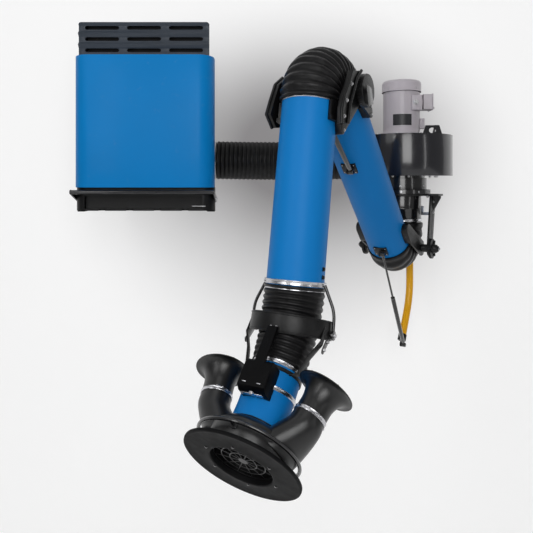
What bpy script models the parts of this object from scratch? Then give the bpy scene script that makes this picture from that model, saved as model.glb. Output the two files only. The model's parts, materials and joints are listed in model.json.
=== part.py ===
# Wall-mounted welding fume extractor: filter box, wall hose, blower and a two-part suction arm
# with a push-pull hood. Metres, +Z up. The wall is the plane y = 0 and the object lies toward -Y.
# The origin is the centre of the back face of the blower's wall plate.

from math import atan2, cos, pi, radians, sin, tan

import bmesh
import bpy
from mathutils import Matrix, Vector

for thing in list(bpy.data.objects):
    bpy.data.objects.remove(thing, do_unlink=True)

# Driving dimensions of the whole extractor
GAP = 0.0003
OVERRUN = 0.01
DUCT_RADIUS = 0.1015
DUCT_WALL = 0.0025
SHEET = 0.0025
HOSE_RADIUS = 0.1055
HOSE_RIB = 0.003
HOSE_WALL = 0.004
HOSE_PITCH = 0.036
CLAMP_WIDTH = 0.014
CLAMP_THICK = 0.004
WALL_TO_SWIVEL = 0.330
FILTER_OFFSET = 1.308
ARM_TURN = radians(-121.3)
HOSE_OUT = 0.165
HOSE_UP = 0.110

# Driving dimensions of the arm, in its own upright plane
SHOULDER_REACH = 0.060
SHOULDER_HEIGHT = -0.345
DUCT_END_HEIGHT = -0.242
SHOULDER_BEND = 0.112
INNER_RISE = radians(45.3)
INNER_LENGTH = 0.956
ELBOW_BEND = 0.118
ELBOW_PAST = 0.0014
ELBOW_BELOW = 0.0281
OUTER_LEAN = radians(10)
OUTER_LENGTH = 0.690
WRIST_DROP = 0.135
WRIST_TURN = radians(-4)
WRIST_PITCH = radians(34.5)
NOZZLE_BEND = radians(7)

ROUND = 24
SMALL_ROUND = 12
TINY_ROUND = 8

FINISHES = {
    "blue": ((0.004, 0.180, 0.450, 1), 0.35, 0.0),
    "tube blue": ((0.010, 0.150, 0.400, 1), 0.32, 0.0),
    "black": ((0.020, 0.020, 0.022, 1), 0.45, 0.0),
    "black gloss": ((0.012, 0.012, 0.014, 1), 0.22, 0.0),
    "rubber": ((0.008, 0.008, 0.008, 1), 0.65, 0.0),
    "louver grey": ((0.050, 0.062, 0.080, 1), 0.50, 0.0),
    "motor grey": ((0.370, 0.350, 0.360, 1), 0.40, 0.2),
    "steel": ((0.550, 0.550, 0.560, 1), 0.30, 1.0),
    "yellow": ((0.550, 0.330, 0.025, 1), 0.35, 0.0),
    "paper": ((0.700, 0.680, 0.600, 1), 0.85, 0.0),
}


# Mesh tools
def mesh_of(work):
    bmesh.ops.recalc_face_normals(work, faces=work.faces)
    mesh = bpy.data.meshes.new("shape")
    work.to_mesh(mesh)
    work.free()
    return mesh


def moved(mesh, matrix):
    mesh.transform(matrix)
    return mesh


def shifted(mesh, x=0, y=0, z=0):
    return moved(mesh, Matrix.Translation((x, y, z)))


def turned(profile, sides=ROUND, closed=True):
    """A ring or a solid of revolution about Z from (radius, height) points."""
    work = bmesh.new()
    points = [work.verts.new((r, 0, z)) for r, z in profile]
    pairs = list(zip(points, points[1:]))
    if closed:
        pairs.append((points[-1], points[0]))
    edges = [work.edges.new(pair) for pair in pairs]
    bmesh.ops.spin(work, geom=points + edges, cent=(0, 0, 0), axis=(0, 0, 1), angle=2 * pi,
                   steps=sides, use_merge=True)
    bmesh.ops.remove_doubles(work, verts=work.verts, dist=GAP / 10)
    return mesh_of(work)


def ring(inner, outer, low, high, sides=ROUND):
    return turned([(inner, low), (outer, low), (outer, high), (inner, high)], sides)


def running(radius, sides=ROUND):
    """The radius of a hole whose flats clear a round of the given radius at every angle."""
    return (radius + GAP) / cos(pi / sides)


def disc(radius, low, high, sides=ROUND):
    return turned([(0, low), (radius, low), (radius, high), (0, high)], sides, closed=False)


def prism(outline, low, high):
    """An outline in X and Y, drawn up from low to high."""
    work = bmesh.new()
    face = work.faces.new([work.verts.new((x, y, low)) for x, y in outline])
    made = bmesh.ops.extrude_face_region(work, geom=[face])["geom"]
    tops = [v for v in made if isinstance(v, bmesh.types.BMVert)]
    bmesh.ops.translate(work, vec=(0, 0, high - low), verts=tops)
    return mesh_of(work)


def block(x0, x1, y0, y1, z0, z1):
    return prism([(x0, y0), (x1, y0), (x1, y1), (x0, y1)], z0, z1)


def lofted(rings):
    """A skin through rings of points, capped at both ends."""
    work = bmesh.new()
    rows = [[work.verts.new(p) for p in points] for points in rings]
    for low, high in zip(rows, rows[1:]):
        for k, v in enumerate(low):
            after = (k + 1) % len(low)
            work.faces.new((v, low[after], high[after], high[k]))
    work.faces.new(list(reversed(rows[0])))
    work.faces.new(rows[-1])
    return mesh_of(work)


def pipe(points, radius, resolution=2, swell=None):
    """A round bar along points, whose radius is multiplied by the values in swell."""
    curve = bpy.data.curves.new("pipe", "CURVE")
    curve.dimensions = "3D"
    curve.bevel_depth = radius
    curve.bevel_resolution = resolution
    curve.use_fill_caps = True
    curve.twist_mode = "MINIMUM"
    line = curve.splines.new("POLY")
    line.points.add(len(points) - 1)
    for k, p in enumerate(points):
        line.points[k].co = (*p, 1)
        line.points[k].radius = swell[k] if swell else 1
    holder = bpy.data.objects.new("pipe", curve)
    bpy.context.collection.objects.link(holder)
    mesh = taken(holder)
    work = bmesh.new()
    work.from_mesh(mesh)
    bmesh.ops.remove_doubles(work, verts=work.verts, dist=GAP / 10)
    return mesh_of(work)


def taken(holder):
    """The evaluated mesh of an object that is then removed."""
    shown = holder.evaluated_get(bpy.context.evaluated_depsgraph_get())
    mesh = bpy.data.meshes.new_from_object(shown)
    bpy.data.objects.remove(holder, do_unlink=True)
    return mesh


def combined(mesh, others, operation):
    """Joins meshes to one, or cuts them from it, one after the other."""
    for other in others:
        holder = bpy.data.objects.new("whole", mesh)
        tool = bpy.data.objects.new("tool", other)
        bpy.context.collection.objects.link(holder)
        bpy.context.collection.objects.link(tool)
        change = holder.modifiers.new("change", "BOOLEAN")
        change.operation = operation
        change.object = tool
        mesh = welded(taken(holder))
        bpy.data.objects.remove(tool, do_unlink=True)
    return mesh


def welded(mesh):
    work = bmesh.new()
    work.from_mesh(mesh)
    bmesh.ops.remove_doubles(work, verts=work.verts, dist=GAP / 10)
    bmesh.ops.dissolve_degenerate(work, edges=work.edges, dist=GAP / 30)
    work.to_mesh(mesh)
    work.free()
    return mesh


def fused(mesh, *others):
    return combined(mesh, others, "UNION")


def cut(mesh, *others):
    return combined(mesh, others, "DIFFERENCE")


def lying(mesh, axis):
    """Turns a shape made along Z so that it runs along another axis."""
    return moved(mesh, Vector((0, 0, 1)).rotation_difference(axis).to_matrix().to_4x4())


ALONG_X = Vector((1, 0, 0))
ALONG_Y = Vector((0, 1, 0))


def plate(outline, near, far):
    """A plate whose outline lies in X and Z, between two values of Y."""
    made = prism(outline, near, far)
    made.transform(Matrix(((1, 0, 0, 0), (0, 0, 1, 0), (0, 1, 0, 0), (0, 0, 0, 1))))
    made.flip_normals()
    return made


def arc(centre, radius, start, end, steps):
    turn = (end - start) / steps
    return [(centre[0] + radius * cos(start + k * turn), centre[1] + radius * sin(start + k * turn))
            for k in range(steps + 1)]


def link_outline(circles, steps=9):
    """The band stretched round circles, each given as (x, y, radius)."""
    points = []
    for x, y, radius in circles:
        points += arc((x, y), radius, 0, 2 * pi * (1 - 1 / steps), steps - 1)
    points = sorted(set(points))
    halves = []
    for line in (points, points[::-1]):
        half = []
        for p in line:
            while len(half) > 1 and turn_of(half[-2], half[-1], p) <= 0:
                half.pop()
            half.append(p)
        halves += half[:-1]
    return halves


def turn_of(a, b, c):
    return (b[0] - a[0]) * (c[1] - a[1]) - (b[1] - a[1]) * (c[0] - a[0])


def oval(centre, across, up, width, height, sides=14):
    """A ring of points round a centre, in the plane of two directions."""
    points = []
    for k in range(sides):
        angle = 2 * pi * k / sides
        points.append(centre + across * (width * cos(angle)) + up * (height * sin(angle)))
    return points


# Carriers: each empty stands on the axis that its pieces turn about
def carrier(name, parent=None, place=(0, 0, 0), turn=None):
    empty = bpy.data.objects.new(name, None)
    bpy.context.collection.objects.link(empty)
    empty.parent = parent
    empty.location = place
    if turn:
        empty.rotation_euler = turn
    return empty


def piece(name, mesh, finish, parent, place=(0, 0, 0)):
    """Names a finished solid, gives it its finish and hangs it on its carrier."""
    colour, roughness, metallic = FINISHES[finish]
    material = bpy.data.materials.new(name + "_finish")
    material.use_nodes = True
    shader = material.node_tree.nodes["Principled BSDF"]
    shader.inputs["Base Color"].default_value = colour
    shader.inputs["Roughness"].default_value = roughness
    shader.inputs["Metallic"].default_value = metallic
    mesh.name = name
    mesh.materials.clear()
    mesh.materials.append(material)
    mesh.shade_smooth()
    mesh.set_sharp_from_angle(angle=radians(32))
    solid = bpy.data.objects.new(name, mesh)
    bpy.context.collection.objects.link(solid)
    solid.parent = parent
    solid.location = place
    return solid


# The arm's plane: u is outward from the swivel axis, z is up
def in_plane(angle):
    return Vector((cos(angle), sin(angle)))


SHOULDER = Vector((SHOULDER_REACH, SHOULDER_HEIGHT))
BEND_CENTRE = Vector((SHOULDER_BEND, DUCT_END_HEIGHT))
INNER_START = BEND_CENTRE + SHOULDER_BEND * in_plane(INNER_RISE - pi / 2)
INNER_END = INNER_START + INNER_LENGTH * in_plane(INNER_RISE)
ELBOW = INNER_END + ELBOW_PAST * in_plane(INNER_RISE) - ELBOW_BELOW * in_plane(INNER_RISE + pi / 2)
ELBOW_CENTRE = INNER_END + ELBOW_BEND * in_plane(INNER_RISE - pi / 2)
OUTER_FALL = OUTER_LEAN - pi / 2
OUTER_START = ELBOW_CENTRE + ELBOW_BEND * in_plane(OUTER_FALL + pi / 2)


def seen_from(origin, rise, point):
    """A point of the arm's plane in a frame that stands at origin and points along rise."""
    away = point - origin
    return Vector((away.dot(in_plane(rise)), 0, away.dot(in_plane(rise + pi / 2))))


INNER_SEAT = seen_from(SHOULDER, INNER_RISE, INNER_START)
ELBOW_IN_INNER = seen_from(INNER_START, INNER_RISE, ELBOW)
ELBOW_IN_OUTER = seen_from(OUTER_START, OUTER_FALL, ELBOW)

wall = carrier("wall_frame")
box_frame = carrier("filter_frame", wall, (-FILTER_OFFSET, 0, 0))
blower = carrier("blower_frame", wall, (0, -WALL_TO_SWIVEL, 0))
swivel = carrier("swivel_axis", wall, (0, -WALL_TO_SWIVEL, 0), (0, 0, ARM_TURN))
shoulder = carrier("shoulder_axis", swivel, (SHOULDER_REACH, 0, SHOULDER_HEIGHT), (0, -INNER_RISE, 0))
elbow = carrier("elbow_axis", shoulder, seen_from(SHOULDER, INNER_RISE, ELBOW),
                (0, INNER_RISE - OUTER_FALL, 0))
OUTER_SEAT = -ELBOW_IN_OUTER
WRIST_IN_OUTER = Vector((OUTER_LENGTH + WRIST_DROP, 0, 0))
wrist = carrier("wrist_axis", elbow, OUTER_SEAT + WRIST_IN_OUTER, (WRIST_TURN, 0, 0))
gimbal = carrier("gimbal_axis", wrist, (0, 0, 0), (0, -WRIST_PITCH, 0))

# Filter box values. Depths are measured out from the wall.
COVER_HALF = 0.338
COVER_BOTTOM = -0.036
COVER_TOP = 0.600
COVER_FRONT = 0.620
COVER_BACK = 0.501
COVER_CORNER = 0.080
CABINET_HALF = 0.267
CABINET_BACK = 0.012
CABINET_FLARE_START = 0.445
CABINET_FLARE_END = 0.475
CABINET_FRONT = 0.500
CABINET_EASE = 0.004
OUTLET_HALF = 0.240
OUTLET_BACK = 0.325
OUTLET_FRONT = 0.450
RAIL_HALF = 0.230
RAIL_HEIGHT = 0.500
RAIL_TALL = 0.030
RAIL_SLOT = 0.008
RAIL_SLOT_OUT = 0.150
LEDGE = 0.006
SPACER_TALL = 0.030


def cabinet_plan(inset, front):
    """Half a plan view mirrored: a narrow back that flares to the width of the cover."""
    wide = COVER_HALF - SHEET - CABINET_EASE - inset
    narrow = CABINET_HALF - inset
    right = [(narrow, -CABINET_BACK - inset), (narrow, -CABINET_FLARE_START),
             (wide, -CABINET_FLARE_END), (wide, -front)]
    return [(-x, y) for x, y in right] + right[::-1]


def make_filter_cabinet():
    """A folded sheet box, open at the front, with a hanging ledge on its back."""
    whole = prism(cabinet_plan(0, CABINET_FRONT), COVER_BOTTOM, COVER_TOP)
    ledge_low = RAIL_HEIGHT + RAIL_TALL + GAP
    ledge = block(-RAIL_HALF, RAIL_HALF, -CABINET_BACK - SHEET / 2, -SHEET, ledge_low, ledge_low + LEDGE)
    spacer = block(-RAIL_HALF, RAIL_HALF, -CABINET_BACK - SHEET / 2, 0, COVER_BOTTOM,
                   COVER_BOTTOM + SPACER_TALL)
    whole = fused(whole, ledge, spacer)
    inside = prism(cabinet_plan(SHEET, CABINET_FRONT + OVERRUN), COVER_BOTTOM + SHEET, COVER_TOP - SHEET)
    outlet = block(-OUTLET_HALF, OUTLET_HALF, -OUTLET_FRONT, -OUTLET_BACK, COVER_TOP - OVERRUN,
                   COVER_TOP + OVERRUN)
    inlet = lying(disc(DUCT_RADIUS - DUCT_WALL, 0, CABINET_HALF + OVERRUN), ALONG_X)
    inlet = shifted(inlet, 0, -HOSE_OUT, HOSE_UP)
    return cut(whole, inside, outlet, inlet)


def make_wall_rail():
    """A bar that the box hangs on, with two screw slots."""
    bar = block(-RAIL_HALF, RAIL_HALF, -CABINET_BACK + GAP, 0, RAIL_HEIGHT, RAIL_HEIGHT + RAIL_TALL)
    slots = []
    for side in (-1, 1):
        middle = RAIL_HEIGHT + RAIL_TALL / 2
        outline = link_outline([(side * RAIL_SLOT_OUT - RAIL_SLOT, middle, RAIL_SLOT / 2),
                                (side * RAIL_SLOT_OUT + RAIL_SLOT, middle, RAIL_SLOT / 2)], 8)
        slots.append(plate(outline, -CABINET_BACK - OVERRUN, OVERRUN))
    return cut(bar, *slots)


def cover_plan(inset, back):
    """The bent front sheet: straight sides and two large round corners."""
    half = COVER_HALF - inset
    corner = COVER_CORNER - inset
    near = half - corner
    front = COVER_FRONT - inset
    right = [(half, -back)] + arc((near, -front + corner), corner, 0, -pi / 2, 8)
    return right + [(-x, y) for x, y in right[::-1]]


def make_front_cover():
    whole = prism(cover_plan(0, COVER_BACK), COVER_BOTTOM, COVER_TOP)
    inside = prism(cover_plan(SHEET, COVER_BACK - OVERRUN), COVER_BOTTOM + SHEET, COVER_TOP - SHEET)
    return cut(whole, inside)


# Discharge grille values
GRILLE_HALF = 0.3185
GRILLE_BACK_HALF = 0.286
GRILLE_TOP = 0.765
GRILLE_FRONT = 0.580
GRILLE_BACK = 0.300
GRILLE_CORNER = 0.014
GRILLE_WALL = 0.003
SLOT_PITCH = 0.0545
SLOT_TALL = 0.024
SLOT_LONG = 0.172
SLOT_SPREAD = 0.204
SLOT_ROWS = 3
TOP_SLOT = 0.7395
SLAT_OUT = 0.010


def grille_front(inset):
    """The clapboard line of the front wall, from top to bottom, as (depth, height)."""
    line = [(GRILLE_FRONT - inset, GRILLE_TOP - inset)]
    bottom = COVER_TOP + GAP
    for row in range(SLOT_ROWS):
        middle = TOP_SLOT - row * SLOT_PITCH
        low = max(middle - SLOT_TALL / 2 - GRILLE_WALL, bottom + GRILLE_WALL)
        line += [(GRILLE_FRONT - SLAT_OUT - inset, middle + SLOT_TALL / 2 - GRILLE_WALL),
                 (GRILLE_FRONT - SLAT_OUT - inset, low)]
        if row < SLOT_ROWS - 1:
            line.append((GRILLE_FRONT - inset, low - SLAT_OUT - GRILLE_WALL))
    return line


def grille_block(inset, low):
    """The grille's outside, or its hollow, tapered toward the wall and with round top corners."""
    side = [(-depth, height) for depth, height in grille_front(inset)]
    bottom = low
    outline = side + [(side[-1][0], bottom), (-GRILLE_BACK - inset, bottom),
                      (-GRILLE_BACK - inset, GRILLE_TOP - inset)]
    made = prism(outline, -GRILLE_HALF, GRILLE_HALF)
    made.transform(Matrix(((0, 0, 1, 0), (1, 0, 0, 0), (0, 1, 0, 0), (0, 0, 0, 1))))
    corner = GRILLE_CORNER - inset
    tall = GRILLE_TOP - inset
    half = GRILLE_HALF - inset
    right = [(half, bottom)] + arc((half - corner, tall - corner), corner, 0, pi / 2, 3)
    front = plate(right + [(-x, z) for x, z in right[::-1]], -GRILLE_FRONT - OVERRUN, 0)
    slope = (GRILLE_HALF - GRILLE_BACK_HALF) / (GRILLE_FRONT - GRILLE_BACK)
    back_half = GRILLE_BACK_HALF - inset
    plan = prism([(half + slope * OVERRUN, -GRILLE_FRONT - OVERRUN),
                  (back_half - slope * OVERRUN, -GRILLE_BACK + OVERRUN),
                  (-back_half + slope * OVERRUN, -GRILLE_BACK + OVERRUN),
                  (-half - slope * OVERRUN, -GRILLE_FRONT - OVERRUN)], bottom - OVERRUN,
                 GRILLE_TOP + OVERRUN)
    return combined(made, [front, plan], "INTERSECT")


def make_louver_grille():
    whole = grille_block(0, COVER_TOP + GAP)
    hollow = grille_block(GRILLE_WALL, COVER_TOP - OVERRUN)
    slots = []
    for column in (-1, 0, 1):
        for row in range(SLOT_ROWS):
            height = TOP_SLOT - row * SLOT_PITCH
            reach = (SLOT_LONG - SLOT_TALL) / 2
            radius = SLOT_TALL / 2 - GRILLE_WALL
            centre = column * SLOT_SPREAD
            ends = [(centre - reach, height, radius), (centre + reach, height, radius)]
            slots.append(plate(link_outline(ends, 8), -GRILLE_FRONT - OVERRUN, -GRILLE_FRONT + 3 * SLAT_OUT))
    return cut(cut(whole, hollow), *slots)


# Filter cartridge values
CARTRIDGE_HALF = 0.235
CARTRIDGE_BACK = 0.292
CARTRIDGE_FRONT = 0.470
CARTRIDGE_LOW = 0.010
CARTRIDGE_TOP = 0.560
PLEATS = 16
PLEAT_DEEP = 0.040
FOOT_TALL = 0.012


def make_cartridge():
    """A pleated block that stands on the cabinet's floor."""
    step = 2 * CARTRIDGE_HALF / PLEATS
    front = []
    for k in range(PLEATS + 1):
        x = -CARTRIDGE_HALF + k * step
        depth = CARTRIDGE_FRONT - (PLEAT_DEEP if k % 2 else 0)
        front.append((x, -depth))
    outline = front + [(CARTRIDGE_HALF, -CARTRIDGE_BACK), (-CARTRIDGE_HALF, -CARTRIDGE_BACK)]
    pleats = prism(outline, CARTRIDGE_LOW, CARTRIDGE_TOP)
    floor = COVER_BOTTOM + SHEET + GAP
    foot = block(-CARTRIDGE_HALF, CARTRIDGE_HALF, -CARTRIDGE_FRONT + GAP * 2, -CARTRIDGE_BACK - GAP,
                 floor, CARTRIDGE_LOW + FOOT_TALL)
    head = block(-CARTRIDGE_HALF, CARTRIDGE_HALF, -CARTRIDGE_FRONT + GAP * 2, -CARTRIDGE_BACK - GAP,
                 CARTRIDGE_TOP - FOOT_TALL, CARTRIDGE_TOP + FOOT_TALL)
    return fused(pleats, foot, head)


# Base and its bail handle values
BASE_HALF = COVER_HALF
BASE_BACK = 0.060
BASE_FRONT = 0.585
BASE_CORNER = 0.060
BASE_BOTTOM = -0.149
FOOT_DROP = 0.007
FOOT_WIDE = 0.034
FOOT_SPLAY = 0.010
TRAY_WALL = 0.012
RECESS_HALF = 0.285
RECESS_DEEP = 0.030
RECESS_LOW = -0.140
RECESS_HIGH = -0.078
DIMPLE_RADIUS = 0.019
DIMPLE_SPREAD = 0.134
DIMPLE_COUNT = 4
BAIL_PIVOT_OUT = 0.500
BAIL_PIVOT_HEIGHT = -0.095
BAIL_BAR_OUT = 0.612
BAIL_BAR_HEIGHT = -0.058
BAIL_RADIUS = 0.010
BAIL_ARM = 0.007
BAIL_EYE = 0.016
BAIL_PIN = 0.007


def base_plan(inset):
    half = BASE_HALF - inset
    corner = BASE_CORNER - inset
    front = BASE_FRONT - inset
    narrow = CABINET_HALF - inset
    right = [(narrow, -BASE_BACK - inset), (narrow, -CABINET_FLARE_START), (half, -CABINET_FLARE_END)]
    right += arc((half - corner, -front + corner), corner, 0, -pi / 2, 6)
    return right + [(-x, y) for x, y in right[::-1]]


def make_cabinet_base():
    """A moulded tray under the cabinet: a recessed front with four finger hollows, and two feet."""
    whole = prism(base_plan(0), BASE_BOTTOM, COVER_BOTTOM - GAP)
    for side in (-1, 1):
        outer = side * BASE_HALF
        inner = side * (BASE_HALF - FOOT_WIDE)
        outline = [(outer, BASE_BOTTOM + OVERRUN), (outer, BASE_BOTTOM - FOOT_DROP),
                   (inner, BASE_BOTTOM - FOOT_DROP), (inner - side * FOOT_SPLAY, BASE_BOTTOM),
                   (inner - side * FOOT_SPLAY, BASE_BOTTOM + OVERRUN)]
        if side > 0:
            outline = outline[::-1]
        whole = fused(whole, plate(outline, -BASE_FRONT + BASE_CORNER, -CABINET_FLARE_END - GAP))
    tray = prism(base_plan(TRAY_WALL + RECESS_DEEP), BASE_BOTTOM + TRAY_WALL, COVER_BOTTOM + OVERRUN)
    recess = block(-RECESS_HALF, RECESS_HALF, -BASE_FRONT - OVERRUN, -BASE_FRONT + RECESS_DEEP,
                   RECESS_LOW, RECESS_HIGH)
    dimples = []
    for k in range(DIMPLE_COUNT):
        x = (k - (DIMPLE_COUNT - 1) / 2) * DIMPLE_SPREAD
        dimple = disc(DIMPLE_RADIUS, RECESS_LOW - OVERRUN, (RECESS_LOW + RECESS_HIGH) / 2, SMALL_ROUND)
        dimples.append(shifted(dimple, x, -BASE_FRONT + RECESS_DEEP / 3, 0))
    holes = []
    for side in (-1, 1):
        hole = lying(disc(running(BAIL_PIN, SMALL_ROUND), -TRAY_WALL, 2 * TRAY_WALL, SMALL_ROUND), ALONG_X)
        holes.append(shifted(hole, side * BASE_HALF - TRAY_WALL / 2 - (TRAY_WALL if side < 0 else 0) / 2,
                             -BAIL_PIVOT_OUT, BAIL_PIVOT_HEIGHT))
    return cut(whole, tray, recess, *dimples, *holes)


def make_bail_handle():
    """A round bar across the front, carried by two flat arms that turn on pins in the base."""
    reach = BAIL_BAR_OUT - BAIL_PIVOT_OUT
    lift = BAIL_BAR_HEIGHT - BAIL_PIVOT_HEIGHT
    near = BASE_HALF + GAP
    bar_half = near + BAIL_ARM
    bar = lying(disc(BAIL_RADIUS, -bar_half, bar_half, SMALL_ROUND), ALONG_X)
    whole = shifted(bar, 0, -reach, lift)
    for side in (-1, 1):
        outline = link_outline([(0, 0, BAIL_EYE), (-reach, lift, BAIL_RADIUS * 0.9)])
        arm = prism(outline, 0, BAIL_ARM)
        arm.transform(Matrix(((0, 0, 1, 0), (1, 0, 0, 0), (0, 1, 0, 0), (0, 0, 0, 1))))
        arm = shifted(arm, near if side > 0 else -near - BAIL_ARM, 0, 0)
        pin = lying(disc(BAIL_PIN, -TRAY_WALL * 0.8, BAIL_ARM / 2, SMALL_ROUND), ALONG_X * side)
        whole = fused(whole, arm, shifted(pin, side * near, 0, 0))
    return whole


# Round collar and wall hose values
COLLAR_FLANGE = 0.126
COLLAR_THICK = 0.005
SPIGOT_LONG = 0.050
SCROLL_OUTLET_X = -0.235


def make_spigot():
    """A flanged sheet spigot along +Z from its flange."""
    inner = DUCT_RADIUS - DUCT_WALL
    return turned([(inner, GAP), (COLLAR_FLANGE, GAP), (COLLAR_FLANGE, COLLAR_THICK),
                   (DUCT_RADIUS, COLLAR_THICK), (DUCT_RADIUS, SPIGOT_LONG), (inner, SPIGOT_LONG)])


def ribbed(points, pitch, end_share=1, headings=None):
    """A corrugated hose along a smooth line of points: ribs outside, and a plainer bore cut out.
    Its far end is end_share as wide as its near end, and headings square its ends to the tubes."""
    lengths = [0]
    for a, b in zip(points, points[1:]):
        lengths.append(lengths[-1] + (Vector(b) - Vector(a)).length)
    count = max(int(lengths[-1] / pitch), 3)

    def at(distance):
        for k in range(len(points) - 1):
            if distance <= lengths[k + 1] or k == len(points) - 2:
                share = (distance - lengths[k]) / (lengths[k + 1] - lengths[k])
                return Vector(points[k]).lerp(Vector(points[k + 1]), share)

    steps = 2 * count
    route = [at(lengths[-1] * k / steps) for k in range(steps + 1)]
    if headings:
        route[1] = route[0] + headings[0] * (lengths[-1] / steps)
        route[-2] = route[-1] - headings[1] * (lengths[-1] / steps)
    taper = [1 + (end_share - 1) * k / steps for k in range(steps + 1)]
    swell = [taper[k] + (HOSE_RIB / HOSE_RADIUS if k % 2 else 0) for k in range(steps + 1)]
    outside = pipe(route, HOSE_RADIUS, 2, swell)
    first = (route[0] - route[1]).normalized() * OVERRUN
    last = (route[-1] - route[-2]).normalized() * OVERRUN
    core = [route[0] + first] + route[1:-1:2] + [route[-1] + last]
    bore_taper = [1] + taper[1:-1:2] + [end_share]
    bore = pipe(core, HOSE_RADIUS - HOSE_WALL, 2, bore_taper)
    return cut(outside, bore)


def make_wall_hose():
    start = -FILTER_OFFSET + CABINET_HALF + SPIGOT_LONG + GAP
    end = SCROLL_OUTLET_X - SPIGOT_LONG - GAP
    return ribbed([(start, -HOSE_OUT, HOSE_UP), (end, -HOSE_OUT, HOSE_UP)], HOSE_PITCH)


# Blower values, measured from the swivel axis
SCROLL_LOW = 0.022
SCROLL_HIGH = 0.230
SCROLL_SMALL = 0.205
SCROLL_GROWTH = 0.0875
SCROLL_STEPS = 22
OUTLET_INNER = 0.045
MOTOR_HOLE = 0.150
INLET_HOLE = 0.098
MOTOR_PLATE = 0.1575
MOTOR_PLATE_THICK = 0.006
SHAFT_RADIUS = 0.012
MOTOR_RADIUS = 0.0945
MOTOR_FOOT = 0.108
MOTOR_FOOT_THICK = 0.010
MOTOR_TOP = 0.466
COWL_RADIUS = 0.101
COWL_TOP = 0.519
COWL_LAP = 0.006
COWL_SHEET = 0.0015
COWL_ROUND = 0.014
LUG_TALL = 0.060
LUG_THICK = 0.010
LUG_HOLE = 0.010
LUG_FOOT = 0.052
LUG_HEAD = 0.024
LUG_OUT = 0.160
WALL_PLATE_HALF = 0.150
WALL_PLATE_TALL = 0.190
WALL_PLATE_THICK = 0.008
SHELF_THICK = 0.006
SHELF_HALF = 0.125
SHELF_REACH = 0.165
GUSSET_REACH = 0.110
GUSSET_OUT = 0.100
GUSSET_THICK = 0.006
WALL_BOLT = 0.007
WALL_BOLT_OUT = 0.125
WALL_BOLT_UP = 0.155


def scroll_plan(inset):
    """The volute: a spiral from its tongue on the left, round the front, to its outlet on the left."""
    points = []
    for k in range(SCROLL_STEPS + 1):
        share = k / SCROLL_STEPS
        angle = pi + share * 1.5 * pi
        radius = SCROLL_SMALL + SCROLL_GROWTH * share - inset
        points.append((radius * cos(angle), radius * sin(angle)))
    far = SCROLL_SMALL + SCROLL_GROWTH - inset
    end = SCROLL_OUTLET_X + inset
    near = OUTLET_INNER + inset
    return points + [(end, far), (end, near), (points[0][0] - inset / 2, near)]


def make_scroll_housing():
    """The fan's volute with a square-to-round outlet flange and two welded lifting lugs."""
    wide = SCROLL_SMALL + SCROLL_GROWTH
    whole = prism(scroll_plan(0), SCROLL_LOW, SCROLL_HIGH)
    rim = COLLAR_THICK
    end_plate = block(SCROLL_OUTLET_X - rim, SCROLL_OUTLET_X + rim, OUTLET_INNER - rim, wide + rim,
                      SCROLL_LOW - 2 * rim, SCROLL_HIGH + rim)
    middle = WALL_TO_SWIVEL - HOSE_OUT
    collar = lying(disc(DUCT_RADIUS, COLLAR_THICK / 2, SPIGOT_LONG), -ALONG_X)
    whole = fused(whole, end_plate, shifted(collar, SCROLL_OUTLET_X, middle, HOSE_UP))
    for side in (-1, 1):
        outline = [(-LUG_FOOT / 2, SCROLL_HIGH - SHEET / 2), (LUG_FOOT / 2, SCROLL_HIGH - SHEET / 2),
                   (LUG_HEAD / 2, SCROLL_HIGH + LUG_TALL), (-LUG_HEAD / 2, SCROLL_HIGH + LUG_TALL)]
        lug = plate(outline, -LUG_THICK / 2, LUG_THICK / 2)
        eye = lying(disc(LUG_HOLE, -LUG_THICK, LUG_THICK, SMALL_ROUND), ALONG_Y)
        lug = cut(lug, shifted(eye, 0, 0, SCROLL_HIGH + LUG_TALL / 2))
        whole = fused(whole, shifted(lug, side * (LUG_OUT + LUG_FOOT / 2), 0, 0))
    hollow = prism(scroll_plan(SHEET), SCROLL_LOW + SHEET, SCROLL_HIGH - SHEET)
    bore = lying(disc(DUCT_RADIUS - DUCT_WALL, -OVERRUN, SPIGOT_LONG + OVERRUN), -ALONG_X)
    bore = shifted(bore, SCROLL_OUTLET_X, middle, HOSE_UP)
    top = disc(MOTOR_HOLE, SCROLL_HIGH - OVERRUN, SCROLL_HIGH + OVERRUN)
    low = disc(INLET_HOLE, SCROLL_LOW - OVERRUN, SCROLL_LOW + OVERRUN)
    return cut(whole, hollow, bore, top, low)


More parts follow.
